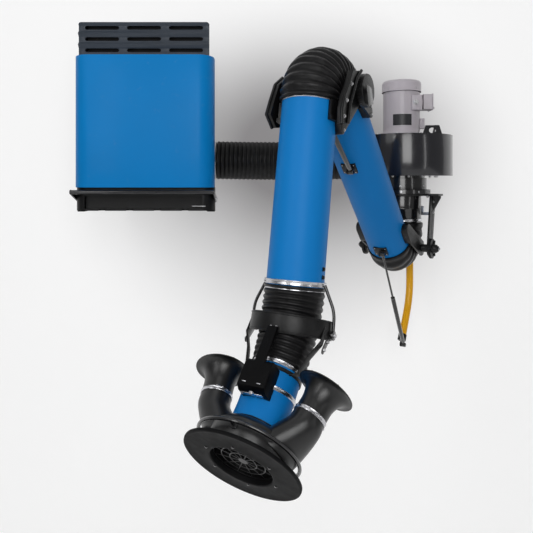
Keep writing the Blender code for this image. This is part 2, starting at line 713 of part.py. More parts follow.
def make_wall_bracket():
    """A wall plate with a shelf under the scroll and two gussets, welded into one."""
    back = WALL_TO_SWIVEL
    whole = plate([(-WALL_PLATE_HALF, -WALL_PLATE_TALL), (WALL_PLATE_HALF, -WALL_PLATE_TALL),
                   (WALL_PLATE_HALF, WALL_PLATE_TALL), (-WALL_PLATE_HALF, WALL_PLATE_TALL)],
                  back - WALL_PLATE_THICK, back)
    shelf_top = SCROLL_LOW - GAP
    shelf = block(-SHELF_HALF, SHELF_HALF, back - SHELF_REACH, back - WALL_PLATE_THICK / 2,
                  shelf_top - SHELF_THICK, shelf_top)
    gussets = []
    for side in (-1, 1):
        x = side * GUSSET_OUT
        outline = [(back - WALL_PLATE_THICK / 2, shelf_top - SHELF_THICK / 2),
                   (back - WALL_PLATE_THICK / 2, -WALL_PLATE_TALL + OVERRUN),
                   (back - WALL_PLATE_THICK - OVERRUN, -WALL_PLATE_TALL + OVERRUN),
                   (back - GUSSET_REACH, shelf_top - SHELF_THICK / 2)]
        gusset = prism(outline, x - GUSSET_THICK / 2, x + GUSSET_THICK / 2)
        gusset.transform(Matrix(((0, 0, 1, 0), (1, 0, 0, 0), (0, 1, 0, 0), (0, 0, 0, 1))))
        gussets.append(gusset)
    holes = []
    for x in (-WALL_BOLT_OUT, WALL_BOLT_OUT):
        for z in (-WALL_BOLT_UP, WALL_BOLT_UP):
            hole = lying(disc(WALL_BOLT, back - 2 * OVERRUN, back + OVERRUN, SMALL_ROUND), ALONG_Y)
            holes.append(shifted(hole, x, 0, z))
    return cut(fused(whole, shelf, *gussets), *holes)


def make_motor_plate():
    low = SCROLL_HIGH + GAP
    return ring(SHAFT_RADIUS + SHEET, MOTOR_PLATE, low, low + MOTOR_PLATE_THICK)


def make_motor_frame():
    """A rolled steel motor body with a foot flange, cooling grooves and a bore for the shaft."""
    low = SCROLL_HIGH + MOTOR_PLATE_THICK + 2 * GAP
    bore = SHAFT_RADIUS + GAP
    band = MOTOR_FOOT_THICK / 2
    profile = [(bore, low), (MOTOR_FOOT, low), (MOTOR_FOOT, low + MOTOR_FOOT_THICK),
               (MOTOR_RADIUS, low + MOTOR_FOOT_THICK + band)]
    profile += [(MOTOR_RADIUS, MOTOR_TOP), (MOTOR_RADIUS - band, MOTOR_TOP + band), (bore, MOTOR_TOP + band)]
    return turned(profile)


VENT_COUNT = 5
VENT_OUT = 0.055
VENT_RADIUS = 0.011


def make_motor_cowl():
    """A domed sheet cowl with a lip, and a ring of air holes in its top."""
    low = MOTOR_TOP - COWL_LAP
    inner = COWL_RADIUS - COWL_SHEET
    seat = MOTOR_RADIUS + GAP
    dome = arc((COWL_RADIUS - COWL_ROUND, COWL_TOP - COWL_ROUND), COWL_ROUND, 0, pi / 2, 3)
    under = arc((COWL_RADIUS - COWL_ROUND, COWL_TOP - COWL_ROUND), COWL_ROUND - COWL_SHEET, pi / 2, 0, 2)
    profile = [(seat, low), (COWL_RADIUS + COWL_SHEET, low), (COWL_RADIUS + COWL_SHEET, low + COWL_LAP / 2),
               (COWL_RADIUS, low + COWL_LAP / 2)] + dome
    profile += [(0, COWL_TOP), (0, COWL_TOP - COWL_SHEET)] + under + [(inner, low + COWL_LAP),
                                                                     (seat, low + COWL_LAP)]
    whole = turned(profile, closed=True)
    vents = []
    for k in range(VENT_COUNT):
        angle = 2 * pi * k / VENT_COUNT
        vent = disc(VENT_RADIUS, COWL_TOP - OVERRUN, COWL_TOP + OVERRUN, TINY_ROUND)
        vents.append(shifted(vent, VENT_OUT * cos(angle), VENT_OUT * sin(angle), 0))
    return cut(whole, *vents)


CONDUIT_LOW = 0.366
CONDUIT_HIGH = 0.451
CONDUIT_OUT = 0.157
CONDUIT_HALF = 0.043
CONDUIT_LID = 0.006
CONDUIT_NECK = 0.026
CONDUIT_GAP = 0.012


def make_conduit_box():
    """A cast terminal box on a short neck, with a lid that stands proud of it."""
    lid_low = CONDUIT_OUT - CONDUIT_LID
    start = MOTOR_RADIUS + CONDUIT_GAP
    edge = CONDUIT_LID / 2
    box = block(start, lid_low + edge, -CONDUIT_HALF + edge, CONDUIT_HALF - edge, CONDUIT_LOW + edge,
                CONDUIT_HIGH - edge)
    lid = block(lid_low, CONDUIT_OUT, -CONDUIT_HALF, CONDUIT_HALF, CONDUIT_LOW, CONDUIT_HIGH)
    middle = (CONDUIT_LOW + CONDUIT_HIGH) / 2
    neck = lying(disc(CONDUIT_NECK, MOTOR_RADIUS - CONDUIT_GAP, start + edge, SMALL_ROUND), ALONG_X)
    body = disc(MOTOR_RADIUS + GAP, CONDUIT_LOW, CONDUIT_HIGH)
    return cut(fused(box, lid, shifted(neck, 0, 0, middle)), body)


IMPELLER_RADIUS = 0.148
IMPELLER_LOW = 0.050
IMPELLER_HIGH = 0.196
IMPELLER_PLATE = 0.003
IMPELLER_EYE = 0.092
IMPELLER_HUB = 0.030
BLADES = 6
BLADE_INNER = 0.080
BLADE_SWEEP = radians(50)
BLADE_THICK = 0.003


def blade_plan(inner, outer, sweep, thick):
    """A curved blade seen along its axis."""
    steps = 3
    outline = []
    for side in (-1, 1):
        row = []
        for k in range(steps + 1):
            share = k / steps
            radius = inner + (outer - inner) * share
            angle = sweep * share ** 1.5 + side * thick / 2 / radius
            row.append((radius * cos(angle), radius * sin(angle)))
        outline += row if side < 0 else row[::-1]
    return outline


def make_impeller():
    """A backward-curved wheel: back plate, front ring, hub and blades."""
    back = disc(IMPELLER_RADIUS, IMPELLER_HIGH, IMPELLER_HIGH + IMPELLER_PLATE)
    front = ring(IMPELLER_EYE, IMPELLER_RADIUS, IMPELLER_LOW - IMPELLER_PLATE, IMPELLER_LOW)
    hub = disc(IMPELLER_HUB, IMPELLER_HIGH - IMPELLER_HUB, IMPELLER_HIGH + IMPELLER_PLATE * 2, SMALL_ROUND)
    inset = IMPELLER_PLATE / 2
    blades = []
    for k in range(BLADES):
        outline = blade_plan(IMPELLER_EYE + inset, IMPELLER_RADIUS - inset, -BLADE_SWEEP, BLADE_THICK)
        blade = prism(outline, IMPELLER_LOW - inset, IMPELLER_HIGH + inset)
        blades.append(moved(blade, Matrix.Rotation(2 * pi * k / BLADES, 4, "Z")))
    shaft_hole = disc(SHAFT_RADIUS + GAP, IMPELLER_HIGH - 2 * IMPELLER_HUB, IMPELLER_HIGH + IMPELLER_HUB,
                      SMALL_ROUND)
    return cut(fused(back, front, hub, *blades), shaft_hole)


SHAFT_END = 0.160
SHAFT_TOP = 0.500
SHAFT_COLLAR = 0.018
FAN_RADIUS = 0.082
FAN_LOW = 0.480
FAN_HIGH = 0.502
FAN_HUB = 0.020
FAN_BLADES = 6


def make_motor_shaft():
    """The motor shaft, with a collar under the wheel that keeps it on."""
    step = IMPELLER_HIGH - IMPELLER_HUB - GAP
    return turned([(0, SHAFT_END), (SHAFT_COLLAR, SHAFT_END), (SHAFT_COLLAR, step),
                   (SHAFT_RADIUS, step), (SHAFT_RADIUS, SHAFT_TOP),
                   (0, SHAFT_TOP)], SMALL_ROUND, closed=False)


def make_cooling_fan():
    hub = ring(SHAFT_RADIUS + GAP, FAN_HUB, FAN_LOW, FAN_HIGH, SMALL_ROUND)
    blades = []
    for k in range(FAN_BLADES):
        outline = [(FAN_HUB - BLADE_THICK, -BLADE_THICK / 2), (FAN_RADIUS, -BLADE_THICK / 2),
                   (FAN_RADIUS, BLADE_THICK / 2), (FAN_HUB - BLADE_THICK, BLADE_THICK / 2)]
        blade = prism(outline, FAN_LOW + BLADE_THICK / 2, FAN_HIGH - BLADE_THICK / 2)
        blades.append(moved(blade, Matrix.Rotation(2 * pi * k / FAN_BLADES, 4, "Z")))
    return fused(hub, *blades)


# Swivel values
COLLAR_RADIUS = 0.129
COLLAR_LOW = -0.048
COLLAR_BORE = 0.100
RETAINER = 0.108
RETAINER_LOW = 0.010
SWIVEL_FLANGE = 0.148
SWIVEL_FLANGE_LOW = -0.071
SLEEVE_WALL = 0.0045


def make_inlet_collar():
    """The fixed bearing ring under the scroll, with a shoulder that the turning duct hangs on."""
    high = SCROLL_LOW - SHELF_THICK - 2 * GAP
    top = SCROLL_LOW - GAP
    step = COLLAR_RADIUS - SHEET * 4
    bore = running(COLLAR_BORE)
    lip_bore = running(RETAINER)
    return turned([(bore, COLLAR_LOW), (COLLAR_RADIUS, COLLAR_LOW), (COLLAR_RADIUS, high), (step, high),
                   (step, top), (lip_bore, top), (lip_bore, RETAINER_LOW), (bore, RETAINER_LOW)])


def make_swivel_duct():
    """The turning duct: a retaining lip, a sleeve in the collar, a flange and a plain spout."""
    sleeve = COLLAR_BORE
    inner = sleeve - SLEEVE_WALL
    lip = RETAINER_LOW + GAP
    return turned([(inner, DUCT_END_HEIGHT + GAP), (DUCT_RADIUS, DUCT_END_HEIGHT + GAP),
                   (DUCT_RADIUS, SWIVEL_FLANGE_LOW), (SWIVEL_FLANGE, SWIVEL_FLANGE_LOW),
                   (SWIVEL_FLANGE, COLLAR_LOW - GAP), (sleeve, COLLAR_LOW - GAP), (sleeve, lip),
                   (RETAINER, lip), (RETAINER, SCROLL_LOW - 2 * SHEET), (inner, SCROLL_LOW - 2 * SHEET)])


def make_clamp(radius=DUCT_RADIUS):
    """A worm-drive band: a ring with the housing of its screw."""
    band = ring(radius + GAP, radius + CLAMP_THICK, 0, CLAMP_WIDTH)
    far = radius + 3 * CLAMP_THICK
    housing = block(radius + CLAMP_THICK / 2, far, -CLAMP_WIDTH, CLAMP_WIDTH, CLAMP_THICK / 4,
                    CLAMP_WIDTH - CLAMP_THICK / 4)
    return fused(band, housing)


# Swivel frame values, in the arm's plane; sides are measured along Y
FRAME_THICK = 0.010
FRAME_HALF_WIDE = 0.045
FRAME_SIDE = 0.205
FRAME_DISC = 0.140
STRAP_NEAR = 0.160
STRAP_THICK = 0.008
STRAP_EYE = 0.042
GUSSET_DROP = 0.085
GUSSET_WEB = 0.012
PIVOT_RADIUS = 0.010
LEVER_OUT = -0.145
LEVER_RADIUS = 0.019
LEVER_SOCKET = 0.027
LEVER_TOP = -0.090
LEVER_SOCKET_LOW = -0.150
LEVER_TURN_HEIGHT = -0.545
LEVER_BEND = 0.300
LEVER_SLOPE = radians(34)
LEVER_END_HEIGHT = -0.845


def make_swivel_frame():
    """A cross plate under the flange with a strap down each side, and a socket for the lever."""
    high = SWIVEL_FLANGE_LOW - GAP
    low = high - FRAME_THICK
    cross = block(-FRAME_HALF_WIDE, FRAME_HALF_WIDE, -FRAME_SIDE, FRAME_SIDE, low, high)
    hub = disc(FRAME_DISC, low, high)
    tail_wide = LEVER_SOCKET
    tail = block(LEVER_OUT - LEVER_SOCKET, 0, -tail_wide, tail_wide, low, high)
    socket = shifted(disc(LEVER_SOCKET, LEVER_SOCKET_LOW, high, SMALL_ROUND), LEVER_OUT, 0, 0)
    parts = [hub, tail, socket]
    for side in (-1, 1):
        near, far = side * STRAP_NEAR, side * (STRAP_NEAR + STRAP_THICK)
        outline = link_outline([(-FRAME_HALF_WIDE / 2, low + FRAME_THICK / 2, FRAME_HALF_WIDE / 2),
                                (FRAME_HALF_WIDE / 2, low + FRAME_THICK / 2, FRAME_HALF_WIDE / 2),
                                (SHOULDER_REACH, SHOULDER_HEIGHT, STRAP_EYE)])
        strap = plate(outline, min(near, far), max(near, far))
        roof = block(-FRAME_SIDE, FRAME_SIDE, -FRAME_SIDE - OVERRUN, FRAME_SIDE + OVERRUN,
                     high - FRAME_THICK / 4, high + FRAME_HALF_WIDE)
        parts.append(cut(strap, roof))
        web = [(far - side * STRAP_THICK / 2, low + FRAME_THICK / 2),
               (side * FRAME_SIDE, low + FRAME_THICK / 2)]
        web += [(side * FRAME_SIDE, low - FRAME_THICK)]
        web += [(far - side * STRAP_THICK / 2, low - GUSSET_DROP)]
        if side < 0:
            web = web[::-1]
        gusset = prism(web, -GUSSET_WEB / 2, GUSSET_WEB / 2)
        gusset.transform(Matrix(((0, 0, 1, 0), (1, 0, 0, 0), (0, 1, 0, 0), (0, 0, 0, 1))))
        parts.append(gusset)
    duct = disc(DUCT_RADIUS + GAP, low - OVERRUN, high + OVERRUN)
    seat = shifted(disc(LEVER_RADIUS + GAP, LEVER_SOCKET_LOW - OVERRUN, LEVER_TOP + GAP, SMALL_ROUND),
                   LEVER_OUT, 0, 0)
    eye = lying(disc(PIVOT_RADIUS + GAP, -FRAME_SIDE, FRAME_SIDE, SMALL_ROUND), ALONG_Y)
    eye = shifted(eye, SHOULDER_REACH, 0, SHOULDER_HEIGHT)
    return cut(fused(cross, *parts), duct, seat, eye)


def lever_route():
    """Straight down behind the hose, a wide bend forward, and a straight end."""
    route = [(LEVER_OUT, 0, LEVER_TOP)]
    centre = (LEVER_OUT + LEVER_BEND, LEVER_TURN_HEIGHT)
    for x, z in arc(centre, LEVER_BEND, pi, pi + LEVER_SLOPE, 6):
        route.append((x, 0, z))
    x, z = route[-1][0], route[-1][2]
    fall = (z - LEVER_END_HEIGHT) / cos(LEVER_SLOPE)
    route.append((x + fall * sin(LEVER_SLOPE), 0, LEVER_END_HEIGHT))
    return route


CAP_LONG = 0.030
CAP_WALL = 0.003
TAB_HALF = 0.004
STRUT_EYE = 0.011
STRUT_PIN = 0.0045
STRUT_OFF = 0.0150
STRUT_EYE_HALF = 0.0105
LEVER_TAB = 0.022


def lever_end():
    route = lever_route()
    before, end = Vector(route[-2]), Vector(route[-1])
    return end, (end - before).normalized()


def lower_strut_pivot():
    """The pin under the lever's cap that the shoulder spring stands on."""
    end, along = lever_end()
    return end + along * (CAP_WALL + LEVER_TAB)


def make_lever_cap():
    """A black end cap with a tab below it, and the pin of the shoulder spring."""
    end, along = lever_end()
    cup = turned([(LEVER_RADIUS + GAP, -CAP_LONG), (LEVER_RADIUS + CAP_WALL, -CAP_LONG),
                  (LEVER_RADIUS + CAP_WALL, CAP_WALL), (0, CAP_WALL), (0, GAP), (LEVER_RADIUS + GAP, GAP)],
                 SMALL_ROUND)
    cup = moved(cup, Vector((0, 0, 1)).rotation_difference(along).to_matrix().to_4x4())
    cup = shifted(cup, *end)
    pivot = lower_strut_pivot()
    foot = end + along * CAP_WALL / 2
    outline = link_outline([(foot.x, foot.z, STRUT_EYE * 0.9), (pivot.x, pivot.z, STRUT_EYE)])
    tab = plate(outline, -TAB_HALF, TAB_HALF)
    inside = disc(LEVER_RADIUS + GAP, -CAP_LONG - OVERRUN, GAP, SMALL_ROUND)
    inside = moved(inside, Vector((0, 0, 1)).rotation_difference(along).to_matrix().to_4x4())
    pin = lying(disc(STRUT_PIN, -TAB_HALF, STRUT_OFF + STRUT_EYE_HALF, TINY_ROUND), ALONG_Y)
    return fused(cut(fused(cup, tab), shifted(inside, *end)), shifted(pin, *pivot))


KNOB_DISC = 0.050
KNOB_DISC_THICK = 0.012
KNOB_GRIP = 0.024
KNOB_LONG = 0.030
KNOB_LOBES = 12
KNOB_RIB = 0.003


def make_friction_knob(near, pin_end):
    """A ribbed friction disc with a hand grip outside it and its pin through the strap."""
    outline = []
    for k in range(2 * KNOB_LOBES):
        angle = pi * k / KNOB_LOBES
        radius = KNOB_DISC - (KNOB_RIB if k % 2 else 0)
        outline.append((radius * cos(angle), radius * sin(angle)))
    washer = prism(outline, near, near + KNOB_DISC_THICK)
    far = near + KNOB_DISC_THICK
    grip = turned([(0, far - GAP), (KNOB_GRIP, far - GAP), (KNOB_GRIP * 0.85, far + KNOB_LONG * 0.7),
                   (KNOB_GRIP * 0.5, far + KNOB_LONG), (0, far + KNOB_LONG)], SMALL_ROUND, closed=False)
    pin = disc(PIVOT_RADIUS, pin_end, near + GAP, SMALL_ROUND)
    return fused(washer, grip, pin)


# Inner arm values, in a frame that starts at the tube's lower end and points along it
PLATE_NEAR = 0.1180
PLATE_THICK = 0.010
SHOULDER_EYE = 0.040
SHOULDER_FOOT = (0.130, -0.006, 0.026)
SHOULDER_FOOT_START = (0.062, -0.006, 0.026)
BRACKET_HALF = 0.032
BRACKET_LONG = 0.052
BRACKET_THICK = 0.004
SHOULDER_BRACKET_ALONG = 0.0712
ELBOW_BRACKET_ALONG = INNER_LENGTH - 0.336
BRACKET_PIVOT_DROP = 0.1225
ELBOW_EYE = 0.056
ELBOW_DISC = 0.064
ELBOW_DISC_THICK = 0.022
ELBOW_FOOT = (INNER_LENGTH - 0.076, -0.012, 0.026)
ELBOW_FOOT_END = (INNER_LENGTH - 0.121, -0.020, 0.013)
FOREARM_NEAR = 0.1158
FOREARM_THICK = 0.009
FOREARM_EYE = 0.038
FOREARM_FOOT = (0.064, -0.024, 0.024)
FOREARM_TIP = (0.120, -0.034, 0.010)
FOREARM_CREST = (-0.020, -0.055, 0.030)


def make_tube(length):
    inner = DUCT_RADIUS - DUCT_WALL
    return lying(ring(inner, DUCT_RADIUS, GAP, length - GAP), ALONG_X)


def side_plate(side, near, thick, arm_circles, foot_circles):
    """A moulded side bracket: a link plate that stands off the tube on a saddle foot."""
    low, high = near, near + thick
    whole = plate(link_outline(arm_circles), low, high)
    foot = plate(link_outline(foot_circles), DUCT_RADIUS * 0.8, high - thick / 4)
    tube = lying(disc(DUCT_RADIUS + GAP, -OUTER_LENGTH, 2 * INNER_LENGTH), ALONG_X)
    whole = cut(fused(whole, foot), tube)
    if side < 0:
        whole = mirrored(whole)
    return whole


def mirrored(mesh):
    mesh.transform(Matrix.Scale(-1, 4, (0, 1, 0)))
    mesh.flip_normals()
    return mesh


def pivot_boss(place, radius, low, high):
    boss = lying(disc(radius, low, high), ALONG_Y)
    return shifted(boss, place[0], 0, place[1])


def make_shoulder_plate(side):
    """From the foot of the inner tube back to the shoulder pin, with a boss against the strap."""
    seat = seen_from(INNER_START, INNER_RISE, SHOULDER)
    pivot = (seat.x, seat.z)
    whole = side_plate(1, PLATE_NEAR, PLATE_THICK,
                       [(*pivot, SHOULDER_EYE), SHOULDER_FOOT_START, SHOULDER_FOOT],
                       [SHOULDER_FOOT_START, SHOULDER_FOOT])
    boss = pivot_boss(pivot, PIVOT_RADIUS * 2, PLATE_NEAR + PLATE_THICK / 2, STRAP_NEAR - GAP)
    hole = pivot_boss(pivot, running(PIVOT_RADIUS), PLATE_NEAR - OVERRUN, STRAP_NEAR + OVERRUN)
    whole = cut(fused(whole, boss), hole)
    return whole if side > 0 else mirrored(whole)


def make_strut_bracket(along):
    """A curved pad on the underside of the tube with a drilled tab for a spring's end."""
    pad = block(along - BRACKET_LONG / 2, along + BRACKET_LONG / 2, -BRACKET_HALF, BRACKET_HALF,
                -DUCT_RADIUS - BRACKET_THICK, -DUCT_RADIUS * 0.8)
    outline = link_outline([(along, -BRACKET_PIVOT_DROP, STRUT_EYE),
                            (along, -DUCT_RADIUS, STRUT_EYE * 1.4)])
    tab = plate(outline, -TAB_HALF, TAB_HALF)
    tube = lying(disc(DUCT_RADIUS + GAP, along - BRACKET_LONG, along + BRACKET_LONG), ALONG_X)
    return cut(fused(pad, tab), tube)


def make_elbow_plate(side):
    """From the top of the inner tube to the elbow pin, with the round friction disc outside."""
    pivot = (ELBOW_IN_INNER.x, ELBOW_IN_INNER.z)
    near = FOREARM_NEAR + FOREARM_THICK + GAP
    whole = side_plate(1, near, PLATE_THICK, [(*pivot, ELBOW_EYE), ELBOW_FOOT, ELBOW_FOOT_END],
                       [ELBOW_FOOT, ELBOW_FOOT_END])
    far = near + PLATE_THICK
    outline = []
    for k in range(2 * KNOB_LOBES):
        angle = pi * k / KNOB_LOBES
        radius = ELBOW_DISC - (KNOB_RIB / 2 if k % 2 else 0)
        outline.append((pivot[0] + radius * cos(angle), pivot[1] + radius * sin(angle)))
    friction = plate(outline, far - KNOB_RIB, far + ELBOW_DISC_THICK)
    pin = pivot_boss(pivot, PIVOT_RADIUS, FOREARM_NEAR, near + GAP)
    whole = fused(whole, friction, pin)
    return whole if side > 0 else mirrored(whole)


def make_forearm_plate(side):
    """From the top of the outer tube up and back to the elbow pin."""
    pivot = (ELBOW_IN_OUTER.x, ELBOW_IN_OUTER.z)
    whole = side_plate(1, FOREARM_NEAR, FOREARM_THICK, [(*pivot, FOREARM_EYE), FOREARM_CREST, FOREARM_TIP],
                       [FOREARM_FOOT, FOREARM_TIP])
    hole = pivot_boss(pivot, running(PIVOT_RADIUS), FOREARM_NEAR - OVERRUN, FOREARM_NEAR + 2 * OVERRUN)
    whole = cut(whole, hole)
    return whole if side > 0 else mirrored(whole)


# Gas springs. Each has its cylinder on one pivot and its rod beside the other.
CYLINDER_RADIUS = 0.0105
ROD_RADIUS = 0.0050
ROD_CLEAR = 0.0006
EYE_NECK = 0.020


def strut_cylinder(length, with_pin_hole):
    """Along +X from its eye: an eye, a neck and a hollow cylinder."""
    eye = lying(disc(STRUT_EYE, -STRUT_EYE_HALF, STRUT_EYE_HALF, SMALL_ROUND), ALONG_Y)
    bore = ROD_RADIUS + ROD_CLEAR
    floor = EYE_NECK + OVERRUN
    barrel = turned([(0, EYE_NECK / 4), (ROD_RADIUS, EYE_NECK / 4), (CYLINDER_RADIUS, EYE_NECK),
                     (CYLINDER_RADIUS, length), (bore, length), (bore, floor), (0, floor)], SMALL_ROUND,
                    closed=False)
    whole = fused(eye, lying(barrel, ALONG_X))
    if with_pin_hole:
        pin_hole = disc(running(STRUT_PIN, TINY_ROUND), -2 * STRUT_EYE_HALF, 2 * STRUT_EYE_HALF, TINY_ROUND)
        hole = lying(pin_hole, ALONG_Y)
        whole = cut(whole, hole)
    return whole


def strut_rod(length, inside_end):
    """Along -X from its eye back into the cylinder."""
    eye = lying(disc(STRUT_EYE, -STRUT_EYE_HALF, STRUT_EYE_HALF, SMALL_ROUND), ALONG_Y)
    rod = lying(disc(ROD_RADIUS, -(length - inside_end), 0, TINY_ROUND), ALONG_X)
    return fused(eye, rod)


# Shares of each spring's length at rest: where its cylinder ends, and where its rod ends inside
SPRING_OUTER = 0.549
SPRING_INNER = 0.341
ELBOW_SPRING_OUTER = 0.819
ELBOW_SPRING_INNER = 0.216
UPPER_PIVOT_ALONG = 0.050
UPPER_PIVOT_DROP = 0.1225


def rise_of(away):
    return atan2(away.y, away.x)


def plane_point(place):
    """A point of the inner tube's frame, back in the arm's plane."""
    along, drop = place
    return INNER_START + along * in_plane(INNER_RISE) - drop * in_plane(INNER_RISE + pi / 2)


LOWER_PIVOT_3D = lower_strut_pivot()
STRUT_FOOT = Vector((LOWER_PIVOT_3D.x, LOWER_PIVOT_3D.z))
STRUT_HEAD = plane_point((SHOULDER_BRACKET_ALONG, BRACKET_PIVOT_DROP))
STRUT_RISE = rise_of(STRUT_HEAD - STRUT_FOOT)
STRUT_LONG = (STRUT_HEAD - STRUT_FOOT).length
SHOULDER_CYLINDER = STRUT_LONG * SPRING_OUTER
SHOULDER_ROD_END = STRUT_LONG * SPRING_INNER
ELBOW_STRUT_FOOT = plane_point((ELBOW_BRACKET_ALONG, BRACKET_PIVOT_DROP))
ELBOW_STRUT_HEAD = (OUTER_START + UPPER_PIVOT_ALONG * in_plane(OUTER_FALL)
                    - UPPER_PIVOT_DROP * in_plane(OUTER_FALL + pi / 2))
ELBOW_STRUT_RISE = rise_of(ELBOW_STRUT_HEAD - ELBOW_STRUT_FOOT)
ELBOW_STRUT_LONG = (ELBOW_STRUT_HEAD - ELBOW_STRUT_FOOT).length
ELBOW_CYLINDER = ELBOW_STRUT_LONG * ELBOW_SPRING_OUTER
ELBOW_ROD_END = ELBOW_STRUT_LONG * ELBOW_SPRING_INNER
strut_axis = carrier("shoulder_strut_axis", swivel, (STRUT_FOOT.x, STRUT_OFF, STRUT_FOOT.y),
                     (0, -STRUT_RISE, 0))
elbow_strut_seat = seen_from(SHOULDER, INNER_RISE, ELBOW_STRUT_FOOT)
elbow_strut_axis = carrier("elbow_strut_axis", shoulder, (elbow_strut_seat.x, STRUT_OFF, elbow_strut_seat.z),
                           (0, INNER_RISE - ELBOW_STRUT_RISE, 0))

# Wrist values, in a frame that stands at the gimbal's centre
WRIST_RING_FROM = 0.034
WRIST_RING_LONG = 0.016
WRIST_RING_OUT = 0.1085
ROD_HALF = 0.152
ROD_SHOULDER_DROP = 0.075
WRIST_ROD = 0.0055
WRIST_EYE = 0.016
WRIST_EYE_HALF = 0.005
YOKE_RADIUS = 0.140
YOKE_THICK = 0.004
YOKE_UP = 0.045
YOKE_DOWN = 0.018
YOKE_LEAN = radians(26.5)
YOKE_STEPS = 13
YOKE_WRAP = radians(8)
SIDE_STRAP_FROM = 0.026
SIDE_STRAP_TO = 0.050
SIDE_STRAP_LINE = ((-0.010, 0.1345), (0.052, 0.1345), (0.108, 0.1080), (0.167, 0.0910), (0.182, 0.0660))
YOKE_COLLAR_FROM = 0.170
YOKE_COLLAR_TO = 0.182


def make_wrist_ring():
    """A ring that turns on the outer tube, with a bent rod down each side to the tilt pins."""
    high = -WRIST_DROP - WRIST_RING_FROM
    whole = lying(disc(WRIST_RING_OUT, high, high + WRIST_RING_LONG), ALONG_X)
    for side in (-1, 1):
        middle = high + WRIST_RING_LONG / 2
        start = Vector((middle, side * (WRIST_RING_OUT + WRIST_ROD / 2), 0))
        knee = Vector((-ROD_SHOULDER_DROP, side * ROD_HALF, 0))
        end = Vector((-WRIST_EYE / 2, side * ROD_HALF, 0))
        rod = pipe([start, knee, end], WRIST_ROD, 1)
        eye = lying(disc(WRIST_EYE, -WRIST_EYE_HALF, WRIST_EYE_HALF, SMALL_ROUND), ALONG_Y)
        hole = lying(disc(running(STRUT_PIN, TINY_ROUND), -OVERRUN, OVERRUN, TINY_ROUND), ALONG_Y)
        lug = cut(fused(rod, shifted(eye, 0, side * ROD_HALF, 0)), shifted(hole, 0, side * ROD_HALF, 0))
        whole = fused(whole, lug)
    tube = lying(disc(running(DUCT_RADIUS), high - OVERRUN, high + WRIST_RING_LONG + OVERRUN), ALONG_X)
    return cut(whole, tube)


def make_wrist_yoke():
    """A deep half band round the front of the hose, pinned at both ends, with a tongue below it."""
    inner = arc((0, 0), YOKE_RADIUS, -YOKE_WRAP, pi + YOKE_WRAP, YOKE_STEPS)
    outer = arc((0, 0), YOKE_RADIUS + YOKE_THICK, pi + YOKE_WRAP, -YOKE_WRAP, YOKE_STEPS)
    band = prism(inner + outer, -YOKE_UP, YOKE_DOWN)
    pins = []
    for side in (-1, 1):
        pin = lying(disc(STRUT_PIN, 0, ROD_HALF + WRIST_EYE_HALF - YOKE_RADIUS, TINY_ROUND), ALONG_X * side)
        pad = lying(disc(WRIST_EYE, -YOKE_THICK, YOKE_THICK / 2, SMALL_ROUND), ALONG_X * side)
        reach = side * (YOKE_RADIUS + YOKE_THICK / 2)
        pins += [shifted(pin, reach, 0, 0), shifted(pad, reach, 0, 0)]
    whole = fused(band, *pins)
    frame = Matrix(((0, 0, 1, 0), (1, 0, 0, 0), (0, 1, 0, 0), (0, 0, 0, 1)))
    whole = moved(whole, Matrix.Rotation(YOKE_LEAN, 4, "Y") @ frame)
    straps = []
    for side in (-1, 1):
        line = [(x, side * y) for x, y in SIDE_STRAP_LINE]
        back = [(x + YOKE_THICK / 2, side * (y + YOKE_THICK)) for x, y in SIDE_STRAP_LINE]
        outline = line + back[::-1]
        straps.append(prism(outline if side > 0 else outline[::-1], SIDE_STRAP_FROM, SIDE_STRAP_TO))
    collar = lying(disc(HOOD_RADIUS + CLAMP_THICK, YOKE_COLLAR_FROM, YOKE_COLLAR_TO), ALONG_X)
    tube = lying(disc(HOOD_RADIUS + GAP, HOOD_TUBE_START, HOOD_BAND), ALONG_X)
    return cut(fused(whole, collar, *straps), tube)


# Hood values, along the hood's axis from the gimbal's centre
HOOD_RADIUS = 0.085
HOOD_TUBE_START = 0.145
HOOD_CLAMP = 0.150
HOOD_BAND = 0.232
HOOD_TURN = 0.300
HOOD_TURN_RADIUS = 0.180
HOOD_TUBE_END = 0.452
SLEEVE_START = 0.296
DISC_RADIUS = 0.185
DISC_FRONT = 0.500
DISC_MOUTH = 0.099
DISC_THICK = 0.004
DISC_ROLL = 0.007
DISC_SIDES = 30
MOUTH_LIP = 0.022
PLENUM_RADIUS = 0.130
PLENUM_BACK = 0.396
PLENUM_FRONT = 0.476
PLENUM_WALL = 0.003
PLENUM_SLOPE = 0.020
EAR_BACK = 0.2255
EAR_SIDE = 0.185
EAR_UP = 0.028
EAR_SPLAY = radians(13)
EAR_LONG = 0.099
EAR_THROAT = 0.050
EAR_MOUTH = 0.089
EAR_WALL = 0.0025
BELL_STEPS = 4
BELL_SIDES = 16
HANDLE_RADIUS = 0.163
HANDLE_BACK = 0.446
HANDLE_BAR = 0.006
BOX_BACK = 0.186
BOX_FRONT = 0.284
BOX_HALF = 0.046
BOX_TOP = 0.138
BOX_EDGE = 0.010
GUARD_RINGS = 2
GUARD_SPOKES = 8
GUARD_BAR = 0.0035
GUARD_HUB = 0.016
GUARD_THICK = 0.004


